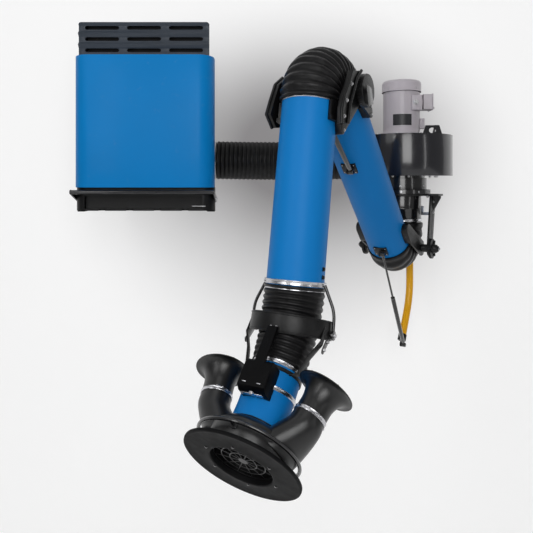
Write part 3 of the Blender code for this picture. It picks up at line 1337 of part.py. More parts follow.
def hood_pipe(radius, start, end):
    """A solid round bar along the hood's bent axis. Places past the bend count in the nozzle's frame."""
    rows = []
    back = HOOD_TURN_RADIUS * tan(NOZZLE_BEND / 2)
    if start < HOOD_TURN - back:
        rows.append((start, 0, 0))
    for k in range(HOOD_TURN_STEPS + 1):
        angle = NOZZLE_BEND * k / HOOD_TURN_STEPS
        x = HOOD_TURN - back + HOOD_TURN_RADIUS * sin(angle)
        if x > start:
            rows.append((x, HOOD_TURN_RADIUS * (1 - cos(angle)), angle))
    corner = Vector((HOOD_TURN, 0))
    far = end - DISC_FRONT + NOZZLE_FROM_TURN
    last = corner + far * in_plane(NOZZLE_BEND)
    rows.append((last.x, last.y, NOZZLE_BEND))
    rings = []
    for x, z, angle in rows:
        up = Vector((-sin(angle), 0, cos(angle)))
        rings.append(oval(Vector((x, 0, z)), ALONG_Y, up, radius, radius, ROUND))
    return lofted(rings)


HOOD_TURN_STEPS = 3
NOZZLE_FROM_TURN = 0.170
NOZZLE_BEHIND = DISC_FRONT - NOZZLE_FROM_TURN
NOZZLE_SEAT = (HOOD_TURN - NOZZLE_BEHIND * cos(NOZZLE_BEND), 0, -NOZZLE_BEHIND * sin(NOZZLE_BEND))
nozzle = carrier("nozzle_frame", gimbal, NOZZLE_SEAT, (0, -NOZZLE_BEND, 0))


def in_nozzle(mesh):
    """Carries a mesh drawn in the gimbal's frame over to the nozzle's frame."""
    there = Matrix.Translation(NOZZLE_SEAT) @ Matrix.Rotation(-NOZZLE_BEND, 4, "Y")
    return moved(mesh, there.inverted())


def make_hood_tube():
    """The blue tube: straight down from the hose, then one bend toward the nozzle."""
    outside = hood_pipe(HOOD_RADIUS, HOOD_TUBE_START, HOOD_TUBE_END)
    inside = hood_pipe(HOOD_RADIUS - DUCT_WALL, HOOD_TUBE_START - OVERRUN, HOOD_TUBE_END + OVERRUN)
    return cut(outside, inside)


def ear_frame(side, distance):
    """Centre and sideways direction of an ear at a distance from its mouth."""
    along = Vector((cos(EAR_SPLAY), -side * sin(EAR_SPLAY), 0))
    mouth = Vector((EAR_BACK, side * EAR_SIDE, EAR_UP))
    return mouth + along * distance, along


def placed_on_ear(mesh, side, distance):
    centre, along = ear_frame(side, distance)
    return shifted(lying(mesh, along), *centre)


def make_ear_bell(side):
    """A trumpet mouth on a straight throat, with the spider that carries its fan."""
    flare = []
    depth = EAR_LONG * 0.62
    wide = EAR_MOUTH - EAR_THROAT
    for k in range(BELL_STEPS + 1):
        angle = pi / 2 * k / BELL_STEPS
        flare.append((EAR_THROAT + wide * (1 - sin(angle)), depth * (1 - cos(angle))))
    outer = [(r, z + EAR_WALL) for r, z in flare]
    inner = [(max(r - EAR_WALL, EAR_THROAT - EAR_WALL), z) for r, z in flare]
    inner[0] = (EAR_MOUTH, 0)
    end = EAR_LONG - GAP
    profile = inner[::-1] + [(EAR_MOUTH + EAR_WALL, 0), (EAR_MOUTH + EAR_WALL, EAR_WALL)] + outer
    profile += [(EAR_THROAT, end), (EAR_THROAT - EAR_WALL, end)]
    whole = turned(profile, BELL_SIDES)
    spokes = []
    for k in range(3):
        spoke = block(0, EAR_THROAT - EAR_WALL / 2, -SPOKE_HALF, SPOKE_HALF, FAN_SEAT - SPOKE_DEEP, FAN_SEAT)
        spokes.append(moved(spoke, Matrix.Rotation(2 * pi * k / 3 + pi / 6, 4, "Z")))
    hub = disc(SPIDER_HUB, FAN_SEAT - SPIDER_LONG, FAN_SEAT + GAP, SMALL_ROUND)
    return placed_on_ear(fused(whole, hub, *spokes), side, 0)


SPOKE_HALF = 0.0015
SPOKE_DEEP = 0.010
FAN_SEAT = 0.062
SPIDER_HUB = 0.014
SPIDER_LONG = 0.020
EAR_FAN_RADIUS = 0.0435
EAR_FAN_HUB = 0.015
EAR_FAN_LONG = 0.018
EAR_FAN_BLADES = 5


def make_ear_fan(side):
    """A small axial wheel in the throat: a hub and five set blades."""
    hub = disc(EAR_FAN_HUB, 0, EAR_FAN_LONG, SMALL_ROUND)
    blades = []
    for k in range(EAR_FAN_BLADES):
        blade = block(EAR_FAN_HUB * 0.6, EAR_FAN_RADIUS, -EAR_FAN_LONG / 2, EAR_FAN_LONG / 2,
                      -SPOKE_HALF / 2, SPOKE_HALF / 2)
        blade = moved(blade, Matrix.Rotation(side * radians(35), 4, "X"))
        blade = shifted(blade, 0, 0, EAR_FAN_LONG / 2)
        blades.append(moved(blade, Matrix.Rotation(2 * pi * k / EAR_FAN_BLADES, 4, "Z")))
    return fused(hub, *blades)


def elbow_skin(side, inset):
    """One side duct of the plenum: round at the ear, tall and flat where it meets the drum."""
    centre, along = ear_frame(side, EAR_LONG)
    start = -GAP if inset == 0 else OVERRUN
    across = Vector((sin(EAR_SPLAY), side * cos(EAR_SPLAY), 0))
    up = Vector((0, 0, 1))
    rows = [(centre - along * start, across, EAR_THROAT, EAR_THROAT)]
    if inset:
        rows.append((centre, across, EAR_THROAT, EAR_THROAT))
    for x_share, y_share, z, turn, wide, tall in ELBOW_SHARES:
        x = centre.x + (PLENUM_FRONT - centre.x) * x_share
        y = side * EAR_SIDE * y_share
        turned_by = EAR_SPLAY * turn
        across = Vector((sin(turned_by), side * cos(turned_by), 0))
        rows.append((Vector((x, y, EAR_UP * z)), across, EAR_THROAT * wide, EAR_THROAT * tall))
    rings = [oval(c, a, up, w - inset, t - inset) for c, a, w, t in rows]
    return lofted(rings)


# Each row of an elbow: place along, place across, height, turn, width and height of its section
ELBOW_SHARES = (
    (0.20, 0.840, 0.90, 1.0, 1.06, 1.10),
    (0.42, 0.695, 0.50, 1.3, 1.16, 1.40),
    (0.63, 0.530, 0.10, 1.4, 1.24, 1.70),
    (0.79, 0.410, 0.00, 1.4, 1.28, 1.86),
)


def make_hood_plenum():
    """The drum behind the disc with both side ducts moulded on, hollow, round the blue tube."""
    drum = turned([(0, PLENUM_BACK), (PLENUM_RADIUS - PLENUM_SLOPE, PLENUM_BACK),
                   (PLENUM_RADIUS, PLENUM_BACK + PLENUM_SLOPE), (PLENUM_RADIUS, PLENUM_FRONT),
                   (0, PLENUM_FRONT)], closed=False)
    wall = PLENUM_WALL
    room = turned([(0, PLENUM_BACK + wall), (PLENUM_RADIUS - PLENUM_SLOPE - wall, PLENUM_BACK + wall),
                   (PLENUM_RADIUS - wall, PLENUM_BACK + PLENUM_SLOPE + wall),
                   (PLENUM_RADIUS - wall, PLENUM_FRONT + OVERRUN), (0, PLENUM_FRONT + OVERRUN)],
                  closed=False)
    whole = fused(lying(drum, ALONG_X), elbow_skin(-1, 0), elbow_skin(1, 0))
    whole = cut(whole, lying(room, ALONG_X), elbow_skin(-1, wall), elbow_skin(1, wall))
    sleeve = in_nozzle(hood_pipe(HOOD_RADIUS + GAP + wall, SLEEVE_START, HOOD_TUBE_END - GAP))
    bore = in_nozzle(hood_pipe(HOOD_RADIUS + GAP, HOOD_TUBE_START, HOOD_TUBE_END + OVERRUN))
    return cut(fused(whole, sleeve), bore)


def make_flange_disc():
    """The wide flat disc with a rolled rim, and a lip that stands in the hood's mouth."""
    back = DISC_FRONT - DISC_THICK
    rim = DISC_RADIUS - DISC_ROLL
    lip = DISC_MOUTH + DISC_THICK
    low = PLENUM_FRONT + GAP
    spigot = PLENUM_RADIUS - PLENUM_WALL
    profile = [(DISC_MOUTH, low), (spigot, low), (spigot, low + DISC_THICK),
               (lip, low + DISC_THICK), (lip, back - DISC_THICK), (rim, back - DISC_THICK / 2),
               (DISC_RADIUS, back - DISC_ROLL), (DISC_RADIUS + DISC_THICK / 2, back - DISC_ROLL / 2),
               (DISC_RADIUS, DISC_FRONT - DISC_THICK / 2), (rim, DISC_FRONT),
               (DISC_MOUTH + DISC_THICK, DISC_FRONT),
               (DISC_MOUTH, DISC_FRONT - DISC_THICK)]
    return lying(turned(profile, DISC_SIDES), ALONG_X)


def make_hood_guard():
    """A moulded grille in the mouth: spokes and rings left between cut sectors."""
    radius = DISC_MOUTH - GAP
    low = DISC_FRONT - MOUTH_LIP
    whole = disc(radius, low, low + GUARD_THICK, DISC_SIDES)
    windows = []
    step = (radius - GUARD_BAR - GUARD_HUB) / GUARD_RINGS
    for r in range(GUARD_RINGS):
        near = GUARD_HUB + r * step + GUARD_BAR / 2
        far = GUARD_HUB + (r + 1) * step - GUARD_BAR / 2
        for s in range(GUARD_SPOKES):
            start = 2 * pi * s / GUARD_SPOKES
            end = start + 2 * pi / GUARD_SPOKES
            half = GUARD_BAR / 2
            outline = arc((0, 0), far, start + half / far, end - half / far, 2)
            outline += arc((0, 0), near, end - half / near, start + half / near, 1)
            windows.append(prism(outline, low - OVERRUN, low + GUARD_THICK + OVERRUN))
    return lying(cut(whole, *windows), ALONG_X)


LEG_ANGLES = (0, radians(152), radians(208))
LUG_BAR = 0.005


def make_handle_ring():
    """A round grab ring behind the disc, on three short legs to the drum."""
    profile = arc((HANDLE_RADIUS, HANDLE_BACK), HANDLE_BAR, 0, 2 * pi * 5 / 6, 5)
    whole = lying(turned(profile, DISC_SIDES), ALONG_X)
    for angle in LEG_ANGLES:
        leg = lying(disc(LUG_BAR, PLENUM_RADIUS - PLENUM_WALL, HANDLE_RADIUS, 8), Vector((0, 0, 1)))
        leg = shifted(leg, HANDLE_BACK, 0, 0)
        whole = fused(whole, moved(leg, Matrix.Rotation(angle, 4, "X")))
    drum = lying(disc(PLENUM_RADIUS + GAP, PLENUM_BACK, PLENUM_FRONT), ALONG_X)
    return cut(whole, drum)


def make_motor_box():
    """The fan controls: a folded box on the blue tube, with bevelled edges and a hanger bar."""
    low = HOOD_RADIUS * 0.8
    edge = BOX_EDGE
    outline = [(BOX_BACK, low), (BOX_FRONT, low), (BOX_FRONT, BOX_TOP - 2 * edge),
               (BOX_FRONT - edge, BOX_TOP),
               (BOX_BACK + edge, BOX_TOP), (BOX_BACK, BOX_TOP - edge)]
    whole = plate(outline, -BOX_HALF, BOX_HALF)
    lean = Vector((sin(YOKE_LEAN), 0, cos(YOKE_LEAN)))
    down = Vector((cos(YOKE_LEAN), 0, -sin(YOKE_LEAN)))
    tab = lean * (YOKE_RADIUS + YOKE_THICK + GAP)
    hanger_points = [tab, tab + lean * HANGER_THICK, Vector((BOX_BACK + edge, 0, BOX_TOP)),
                     Vector((BOX_BACK + edge, 0, BOX_TOP - edge)), tab + down * HANGER_LAP]
    hanger = plate([(p.x, p.z) for p in hanger_points], -HANGER_HALF, HANGER_HALF)
    tube = hood_pipe(HOOD_RADIUS + GAP, YOKE_COLLAR_TO + GAP, HOOD_TUBE_END)
    sleeve = hood_pipe(HOOD_RADIUS + PLENUM_WALL + 2 * GAP, SLEEVE_START, HOOD_TUBE_END)
    band = disc(HOOD_RADIUS + CLAMP_THICK + GAP, HOOD_BAND - GAP, HOOD_BAND + CLAMP_WIDTH + GAP)
    band = lying(band, ALONG_X)
    return cut(fused(whole, hanger), tube, sleeve, band)


HANGER_THICK = 0.008
HANGER_HALF = 0.017
HANGER_LAP = 0.017


def make_hood_band():
    """The V band round the middle of the blue tube."""
    low, high = HOOD_BAND, HOOD_BAND + CLAMP_WIDTH
    return lying(ring(HOOD_RADIUS + GAP, HOOD_RADIUS + CLAMP_THICK, low, high), ALONG_X)


# Hoses across the joints, drawn in the arm's plane
def bend_points(centre, radius, start, end, steps):
    return [(x, 0, z) for x, z in arc(centre, radius, start, end, steps)]


def upright_heading(angle):
    return Vector((cos(angle), 0, sin(angle)))


def make_shoulder_hose():
    start = pi
    end = pi * 3 / 2 + INNER_RISE
    line = bend_points(BEND_CENTRE, SHOULDER_BEND, start, end, 40)
    headings = (upright_heading(-pi / 2), upright_heading(INNER_RISE))
    return ribbed(line, SHOULDER_BEND * 0.25, 1, headings)


def make_elbow_hose():
    start = INNER_RISE + pi / 2
    end = OUTER_FALL + pi / 2
    line = bend_points(ELBOW_CENTRE, ELBOW_BEND, start, end, 40)
    return ribbed(line, ELBOW_BEND * 0.2, 1, (upright_heading(INNER_RISE), upright_heading(OUTER_FALL)))


WRIST_HOSE_BEND = 0.200


def make_wrist_hose():
    """In the wrist's own frame: down from the outer tube, one bend, and on to the hood's tube."""
    half = WRIST_HOSE_BEND * tan(WRIST_PITCH / 2)
    centre = (-half, WRIST_HOSE_BEND)
    bend = arc(centre, WRIST_HOSE_BEND, -pi / 2, -pi / 2 + WRIST_PITCH, 16)
    direction = in_plane(WRIST_PITCH)
    end = direction * (HOOD_TUBE_START - GAP)
    line = [(-WRIST_DROP, 0, 0)] + [(x, 0, z) for x, z in bend] + [(end.x, 0, end.y)]
    return ribbed(line, HOSE_PITCH * 0.72, HOOD_RADIUS / DUCT_RADIUS)


def build():
    # Filter box
    piece("filter_wall_rail", make_wall_rail(), "steel", box_frame)
    piece("filter_cabinet", make_filter_cabinet(), "black", box_frame)
    piece("front_cover", make_front_cover(), "blue", box_frame)
    piece("louver_grille", make_louver_grille(), "louver grey", box_frame)
    piece("filter_cartridge", make_cartridge(), "paper", box_frame)
    piece("cabinet_base", make_cabinet_base(), "black", box_frame)
    bail = carrier("bail_axis", box_frame, (0, -BAIL_PIVOT_OUT, BAIL_PIVOT_HEIGHT))
    piece("bail_handle", make_bail_handle(), "black gloss", bail)
    piece("filter_inlet_collar", lying(make_spigot(), ALONG_X), "steel", box_frame,
          (CABINET_HALF, -HOSE_OUT, HOSE_UP))
    piece("wall_hose", make_wall_hose(), "rubber", wall)
    # Blower
    piece("wall_bracket", make_wall_bracket(), "black", blower)
    piece("scroll_housing", make_scroll_housing(), "black gloss", blower)
    piece("motor_plate", make_motor_plate(), "black gloss", blower)
    piece("motor_frame", make_motor_frame(), "motor grey", blower)
    piece("motor_cowl", make_motor_cowl(), "motor grey", blower)
    piece("conduit_box", make_conduit_box(), "motor grey", blower)
    piece("motor_shaft", make_motor_shaft(), "steel", blower)
    piece("impeller", make_impeller(), "steel", blower)
    piece("cooling_fan", make_cooling_fan(), "black", blower)
    piece("inlet_collar", make_inlet_collar(), "black", blower)
    # Swivel
    piece("swivel_duct", make_swivel_duct(), "black", swivel)
    piece("duct_clamp", make_clamp(), "steel", swivel, (0, 0, DUCT_END_HEIGHT + 2 * CLAMP_WIDTH))
    piece("swivel_frame", make_swivel_frame(), "black", swivel)
    piece("balance_lever", pipe(lever_route(), LEVER_RADIUS, 4), "yellow", swivel)
    piece("lever_cap", make_lever_cap(), "black", swivel)
    knob_near = STRAP_NEAR + STRAP_THICK + GAP
    for side, name in ((1, "right"), (-1, "left")):
        knob = lying(make_friction_knob(knob_near, PLATE_NEAR), ALONG_Y * side)
        piece("shoulder_knob_" + name, knob, "black", swivel, (SHOULDER_REACH, 0, SHOULDER_HEIGHT))
    piece("shoulder_hose", make_shoulder_hose(), "rubber", swivel)
    # Inner arm
    piece("inner_tube", make_tube(INNER_LENGTH), "tube blue", shoulder, INNER_SEAT)
    for side, name in ((1, "right"), (-1, "left")):
        piece("shoulder_plate_" + name, make_shoulder_plate(side), "black", shoulder, INNER_SEAT)
        piece("elbow_plate_" + name, make_elbow_plate(side), "black", shoulder, INNER_SEAT)
    piece("shoulder_strut_bracket", make_strut_bracket(SHOULDER_BRACKET_ALONG), "black", shoulder,
          INNER_SEAT)
    piece("elbow_strut_bracket", make_strut_bracket(ELBOW_BRACKET_ALONG), "black", shoulder, INNER_SEAT)
    piece("shoulder_strut_cylinder", strut_cylinder(SHOULDER_CYLINDER, True), "black gloss", strut_axis)
    piece("shoulder_strut_rod", strut_rod(STRUT_LONG, SHOULDER_ROD_END), "black gloss", strut_axis,
          (STRUT_LONG, 0, 0))
    piece("elbow_strut_cylinder", strut_cylinder(ELBOW_CYLINDER, False), "black gloss", elbow_strut_axis)
    piece("elbow_strut_rod", strut_rod(ELBOW_STRUT_LONG, ELBOW_ROD_END), "black gloss", elbow_strut_axis,
          (ELBOW_STRUT_LONG, 0, 0))
    piece("elbow_hose", make_elbow_hose(), "rubber", swivel)
    # Outer arm
    piece("outer_tube", make_tube(OUTER_LENGTH), "tube blue", elbow, OUTER_SEAT)
    piece("elbow_clamp", lying(make_clamp(), ALONG_X), "steel", elbow,
          OUTER_SEAT + Vector((CLAMP_WIDTH / 2, 0, 0)))
    for side, name in ((1, "right"), (-1, "left")):
        piece("forearm_plate_" + name, make_forearm_plate(side), "black", elbow, OUTER_SEAT)
    piece("forearm_strut_bracket", make_strut_bracket(UPPER_PIVOT_ALONG), "black", elbow, OUTER_SEAT)
    piece("wrist_clamp", lying(make_clamp(), ALONG_X), "steel", elbow,
          OUTER_SEAT + Vector((OUTER_LENGTH - 1.1 * CLAMP_WIDTH, 0, 0)))
    # Wrist
    piece("wrist_ring", make_wrist_ring(), "black", wrist)
    piece("wrist_hose", make_wrist_hose(), "rubber", wrist)
    piece("wrist_yoke", make_wrist_yoke(), "black", gimbal)
    # Hood
    piece("hood_tube", make_hood_tube(), "tube blue", gimbal)
    piece("hood_clamp", shifted(lying(make_clamp(HOOD_RADIUS), ALONG_X), HOOD_CLAMP), "steel", gimbal)
    piece("hood_band", make_hood_band(), "steel", gimbal)
    piece("hood_motor_box", make_motor_box(), "black", gimbal)
    piece("hood_plenum", make_hood_plenum(), "black", nozzle)
    piece("flange_disc", make_flange_disc(), "black", nozzle)
    piece("hood_guard", make_hood_guard(), "black gloss", nozzle)
    piece("handle_ring", make_handle_ring(), "black gloss", nozzle)
    for side, name in ((1, "right"), (-1, "left")):
        piece("ear_bell_" + name, make_ear_bell(side), "black", nozzle)
        centre, along = ear_frame(side, FAN_SEAT + 2 * GAP)
        fan_axis = carrier("ear_fan_axis_" + name, nozzle, centre)
        fan_axis.rotation_euler = Vector((0, 0, 1)).rotation_difference(along).to_euler()
        piece("ear_fan_" + name, make_ear_fan(side), "black", fan_axis)


build()
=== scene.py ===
# The looks of a wall-mounted welding fume extractor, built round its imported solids.
# The file follows the unit as it is put together: wall and light first, then the filter box,
# its hose, the blower, the arm from its swivel to its wrist, and last the push-pull hood.

import json
from math import cos, pi, radians, sin, tan

import bmesh
import bpy
from mathutils import Matrix, Vector


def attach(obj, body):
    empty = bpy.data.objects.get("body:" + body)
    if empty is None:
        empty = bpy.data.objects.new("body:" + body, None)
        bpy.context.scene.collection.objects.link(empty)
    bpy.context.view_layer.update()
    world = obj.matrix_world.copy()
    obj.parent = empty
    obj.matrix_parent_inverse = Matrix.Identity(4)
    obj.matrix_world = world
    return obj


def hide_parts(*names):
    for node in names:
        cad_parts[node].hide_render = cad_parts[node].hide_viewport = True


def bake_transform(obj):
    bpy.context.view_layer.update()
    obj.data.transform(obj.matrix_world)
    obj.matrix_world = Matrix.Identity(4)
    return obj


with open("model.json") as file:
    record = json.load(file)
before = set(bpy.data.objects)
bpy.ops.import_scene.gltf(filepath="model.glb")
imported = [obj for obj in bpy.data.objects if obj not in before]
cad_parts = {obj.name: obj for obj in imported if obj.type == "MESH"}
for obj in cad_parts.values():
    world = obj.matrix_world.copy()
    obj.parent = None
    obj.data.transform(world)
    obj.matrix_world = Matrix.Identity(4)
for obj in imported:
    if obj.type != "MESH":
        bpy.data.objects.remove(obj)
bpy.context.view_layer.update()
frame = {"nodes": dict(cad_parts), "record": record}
body_of_node = {node: body for body, nodes in frame["record"]["behaviour"]["bodies"].items()
                for node in nodes}


# The camera stands 3.3 m from the wall, level with the blower's plate. It looks square at the wall,
# and its shift lowers the picture, as the photograph's own framing does.
PICTURE = 533
FOCAL = 562
HORIZON = 180

camera_data = bpy.data.cameras.new("camera")
camera_data.sensor_width = 36
camera_data.lens = 36 * FOCAL / PICTURE
camera_data.shift_y = (HORIZON - PICTURE / 2) / PICTURE
camera = bpy.data.objects.new("camera", camera_data)
camera.location = (-0.713, -3.300, 0)
camera.rotation_euler = (pi / 2, 0, 0)
bpy.context.collection.objects.link(camera)
bpy.context.scene.camera = camera
bpy.context.scene.view_settings.view_transform = "Standard"


# The wall and the floor are plain and nearly white. A soft grey cloud of painted shade darkens the
# wall behind the unit. Both are clear from behind, so the back can be seen too.
def tint(red, green, blue):
    """A colour given as in a picture, 0 to 255, in the linear light that shaders use."""
    made = [c / 255 / 12.92 if c < 11 else ((c / 255 + 0.055) / 1.055) ** 2.4
            for c in (red, green, blue)]
    return (*made, 1)


class Value:
    """One value of a shader, so that its maths can be written as maths."""

    def __init__(self, tree, socket):
        self.tree, self.socket = tree, socket

    def joined(self, operation, first, second):
        node = self.tree.nodes.new("ShaderNodeMath")
        node.operation = operation
        for place, value in zip(node.inputs, (first, second)):
            plug(self.tree, value, place)
        return Value(self.tree, node.outputs[0])

    def __add__(self, other):
        return self.joined("ADD", self, other)

    def __sub__(self, other):
        return self.joined("SUBTRACT", self, other)

    def __rsub__(self, other):
        return self.joined("SUBTRACT", other, self)

    def __mul__(self, other):
        return self.joined("MULTIPLY", self, other)

    def __truediv__(self, other):
        return self.joined("DIVIDE", self, other)

    def __pow__(self, other):
        return self.joined("POWER", self, other)

    def __gt__(self, other):
        return self.joined("GREATER_THAN", self, other)

    __radd__, __rmul__ = __add__, __mul__


def plug(tree, value, place):
    if isinstance(value, Value):
        tree.links.new(value.socket, place)
    else:
        place.default_value = value


class Finish:
    """A material in the making, with its Principled shader and its place on the object."""

    def __init__(self, name, **sockets):
        self.material = bpy.data.materials.new(name)
        self.material.use_nodes = True
        self.tree = self.material.node_tree
        self.shader = self.tree.nodes["Principled BSDF"]
        self.end = self.tree.nodes["Material Output"]
        self.place = self.node("ShaderNodeTexCoord", output="Object")
        self.set(**sockets)

    def node(self, kind, settings=None, inputs=None, output=0):
        node = self.tree.nodes.new(kind)
        for key, value in (settings or {}).items():
            if key == "stops":
                ramp = node.color_ramp.elements
                while len(ramp) < len(value):
                    ramp.new(0.5)
                for stop, (position, colour) in zip(ramp, value):
                    stop.position, stop.color = position, colour
            else:
                setattr(node, key, value)
        for key, value in (inputs or {}).items():
            plug(self.tree, value, node.inputs[key])
        return Value(self.tree, node.outputs[output])

    def set(self, **sockets):
        for key, value in sockets.items():
            plug(self.tree, value, self.shader.inputs[key.replace("_", " ")])
        return self

    def noise(self, scale, detail=2.0, rough=0.5, where=None):
        return self.node("ShaderNodeTexNoise", None, {"Vector": where or self.place, "Scale": scale,
                         "Detail": detail, "Roughness": rough})

    def stretched(self, scale, turn=(0, 0, 0), shift=(0, 0, 0)):
        return self.node("ShaderNodeMapping", None, {"Vector": self.place, "Scale": scale,
                         "Rotation": turn, "Location": shift})

    def ramp(self, value, low, high):
        """0 below low, 1 above high and smooth between."""
        return self.node("ShaderNodeMapRange", {"interpolation_type": "SMOOTHSTEP"},
                         {"Value": value, "From Min": low, "From Max": high})

    def blend(self, factor, first, second):
        return self.node("ShaderNodeMix", {"data_type": "RGBA"}, {0: factor, 6: first, 7: second},
                         2)

    def bump(self, height, strength, depth=0.001, under=None):
        inputs = {"Height": height, "Strength": strength, "Distance": depth}
        if under:
            inputs["Normal"] = under
        return self.node("ShaderNodeBump", None, inputs)


STAGE_GLOW, STAGE_SHARE = 1.12, 0.62
# The grey of the painted shade that darkens the wall behind the unit.
PAINTED_SHADE_GREY = tint(150, 148, 149)


def stage_finish(name, colour, painted_shade_cloud):
    """A pale matt surface that is clear from behind and takes the object's shadow, darkened by
    patches of painted shade.
    """
    made = Finish(name, Roughness=0.9, Specular_IOR_Level=0.1)
    x, z = (made.node("ShaderNodeSeparateXYZ", None, {0: made.place}, k) for k in (0, 2))
    shade = 0.0
    for cx, cz, wide, tall, depth in painted_shade_cloud:
        across, up = (x - cx) / wide, (z - cz) / tall
        shade = shade + made.ramp(1 - (across * across + up * up) ** 0.5, 0.0, 1.0) * depth
    whole = made.blend(shade, colour, PAINTED_SHADE_GREY)
    made.set(Base_Color=whole)
    lit = made.node("ShaderNodeEmission", None, {"Color": whole, "Strength": STAGE_GLOW})
    camera_ray = made.node("ShaderNodeLightPath", None, None, "Is Camera Ray")
    glossy_ray = made.node("ShaderNodeLightPath", None, None, "Is Glossy Ray")
    seen = made.node("ShaderNodeMixShader", None, {0: (camera_ray + glossy_ray) * STAGE_SHARE,
                     1: Value(made.tree, made.shader.outputs[0]), 2: lit})
    back = made.node("ShaderNodeNewGeometry", None, None, "Backfacing")
    clear = made.node("ShaderNodeBsdfTransparent")
    whole = made.node("ShaderNodeMixShader", None, {0: back, 1: seen, 2: clear})
    made.tree.links.new(whole.socket, made.end.inputs["Surface"])
    return made.material


def stage_sheet(name, corners, material):
    mesh = bpy.data.meshes.new(name)
    mesh.from_pydata(corners, [], [tuple(range(len(corners)))])
    mesh.materials.append(material)
    sheet = bpy.data.objects.new(name, mesh)
    bpy.context.collection.objects.link(sheet)


WALL_BEHIND = 0.012
FLOOR = -2.16
ROOM = 9
# Patches of painted shade on the wall: centre across and up, width, height and depth.
painted_shade_cloud = [(-0.55, 0.00, 1.45, 1.25, 0.75), (-0.40, 0.28, 1.25, 0.80, 0.55)]
pale = tint(250, 250, 250)
stage_sheet("studio_wall", [(-ROOM, WALL_BEHIND, FLOOR), (ROOM, WALL_BEHIND, FLOOR),
            (ROOM, WALL_BEHIND, ROOM), (-ROOM, WALL_BEHIND, ROOM)],
            stage_finish("studio_wall_paint", pale, painted_shade_cloud))
stage_sheet("studio_floor", [(-ROOM, -ROOM, FLOOR), (ROOM, -ROOM, FLOOR),
            (ROOM, WALL_BEHIND, FLOOR), (-ROOM, WALL_BEHIND, FLOOR)],
            stage_finish("studio_floor_paint", pale, []))

# A wide lamp stands above and behind the camera and draws the upright streak on the glossy black
# parts. Two narrow ones at its sides, a broad one on the left and two more fill the rest.
LAMPS = {"front_lamp": ((-0.55, -3.90, 0.70), (-0.20, -0.40, 0.10), 1.40, 2.2, 46),
         "left_strip": ((-2.40, -3.20, 0.60), (-0.40, -0.40, 0.10), 0.36, 2.2, 14),
         "right_strip": ((2.10, -3.30, 0.45), (0.00, -0.40, 0.10), 0.24, 2.4, 6),
         "broad_lamp": ((-3.4, -3.0, 2.4), (-0.7, -0.7, -0.1), 2.2, 2.2, 16),
         "top_lamp": ((-0.6, -1.8, 3.2), (-0.6, -0.7, 0.0), 2.0, 2.0, 13),
         "rim_lamp": ((0.2, 3.4, 2.2), (-0.6, -0.4, 0.0), 2.6, 2.6, 30), }
for lamp_name, (position, target, wide, tall, power) in LAMPS.items():
    lamp_data = bpy.data.lights.new(lamp_name, "AREA")
    lamp_data.shape = "RECTANGLE"
    lamp_data.size, lamp_data.size_y = wide, tall
    lamp_data.energy = power
    lamp = bpy.data.objects.new(lamp_name, lamp_data)
    lamp.location = position
    lamp.rotation_euler = (Vector(target) - Vector(position)).to_track_quat("-Z", "Y").to_euler()
    bpy.context.collection.objects.link(lamp)

room = bpy.data.worlds.new("room")
room.use_nodes = True
bpy.context.scene.world = room
room_light = room.node_tree.nodes["Background"]
room_light.inputs["Color"].default_value = (1, 1, 1, 1)
room_light.inputs["Strength"].default_value = 0.26


# The filter cabinet is a folded steel box in satin black powder coat. The solid's own shape is
# right, so it is only copied, merged and given the small radius that folded sheet has.
def powder_coat(name, colour, rough=0.36, peel=0.25, drift=0.08, coat=0.0, shine=0.3):
    """Sprayed and baked paint: even colour, a fine orange peel, and the odd duller patch."""
    made = Finish(name, Coat_Weight=coat, Coat_Roughness=0.12, Specular_IOR_Level=shine)
    patch = made.noise(3.0, 3)
    dark = tuple(c * (1 - drift) for c in colour[:3]) + (1,)
    light = tuple(min(c * (1 + drift), 1) for c in colour[:3]) + (1,)
    dust = made.ramp(made.noise(26, 4, 0.6), 0.60, 0.78) * 0.05
    shown = made.blend(dust, made.blend(made.ramp(patch, 0.3, 0.7), dark, light),
                       tint(150, 148, 145))
    grain = made.noise(520, 1)
    made.set(Base_Color=shown, Roughness=made.noise(14, 4, 0.6) * 0.16 + (rough - 0.08),
             Normal=made.bump(grain, peel, 0.0004))
    return made.material


def in_scene(name, mesh, body, material, replaced=(), smooth=38):
    """Puts a finished mesh in the scene as a piece that rides on a body and may stand for nodes.
    A soft piece names two bodies and two points between them, which are not used: it is left where
    it is made."""
    mesh.name = name
    mesh.materials.clear()
    mesh.materials.append(material)
    for face in mesh.polygons:
        face.material_index = 0
    mesh.shade_smooth()
    mesh.set_sharp_from_angle(angle=radians(smooth))
    piece = bpy.data.objects.new(name, mesh)
    bpy.context.collection.objects.link(piece)
    if isinstance(body, str):
        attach(piece, body)
    else:
        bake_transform(piece)
    for node in [replaced] if isinstance(replaced, str) else replaced:
        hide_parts(node)
    return piece


def settled(piece):
    """The mesh of an object with its modifiers applied. The object is removed."""
    bpy.context.view_layer.update()
    shown = piece.evaluated_get(bpy.context.evaluated_depsgraph_get())
    mesh = bpy.data.meshes.new_from_object(shown)
    bpy.data.objects.remove(piece, do_unlink=True)
    return mesh


EASED_ABOVE = 32


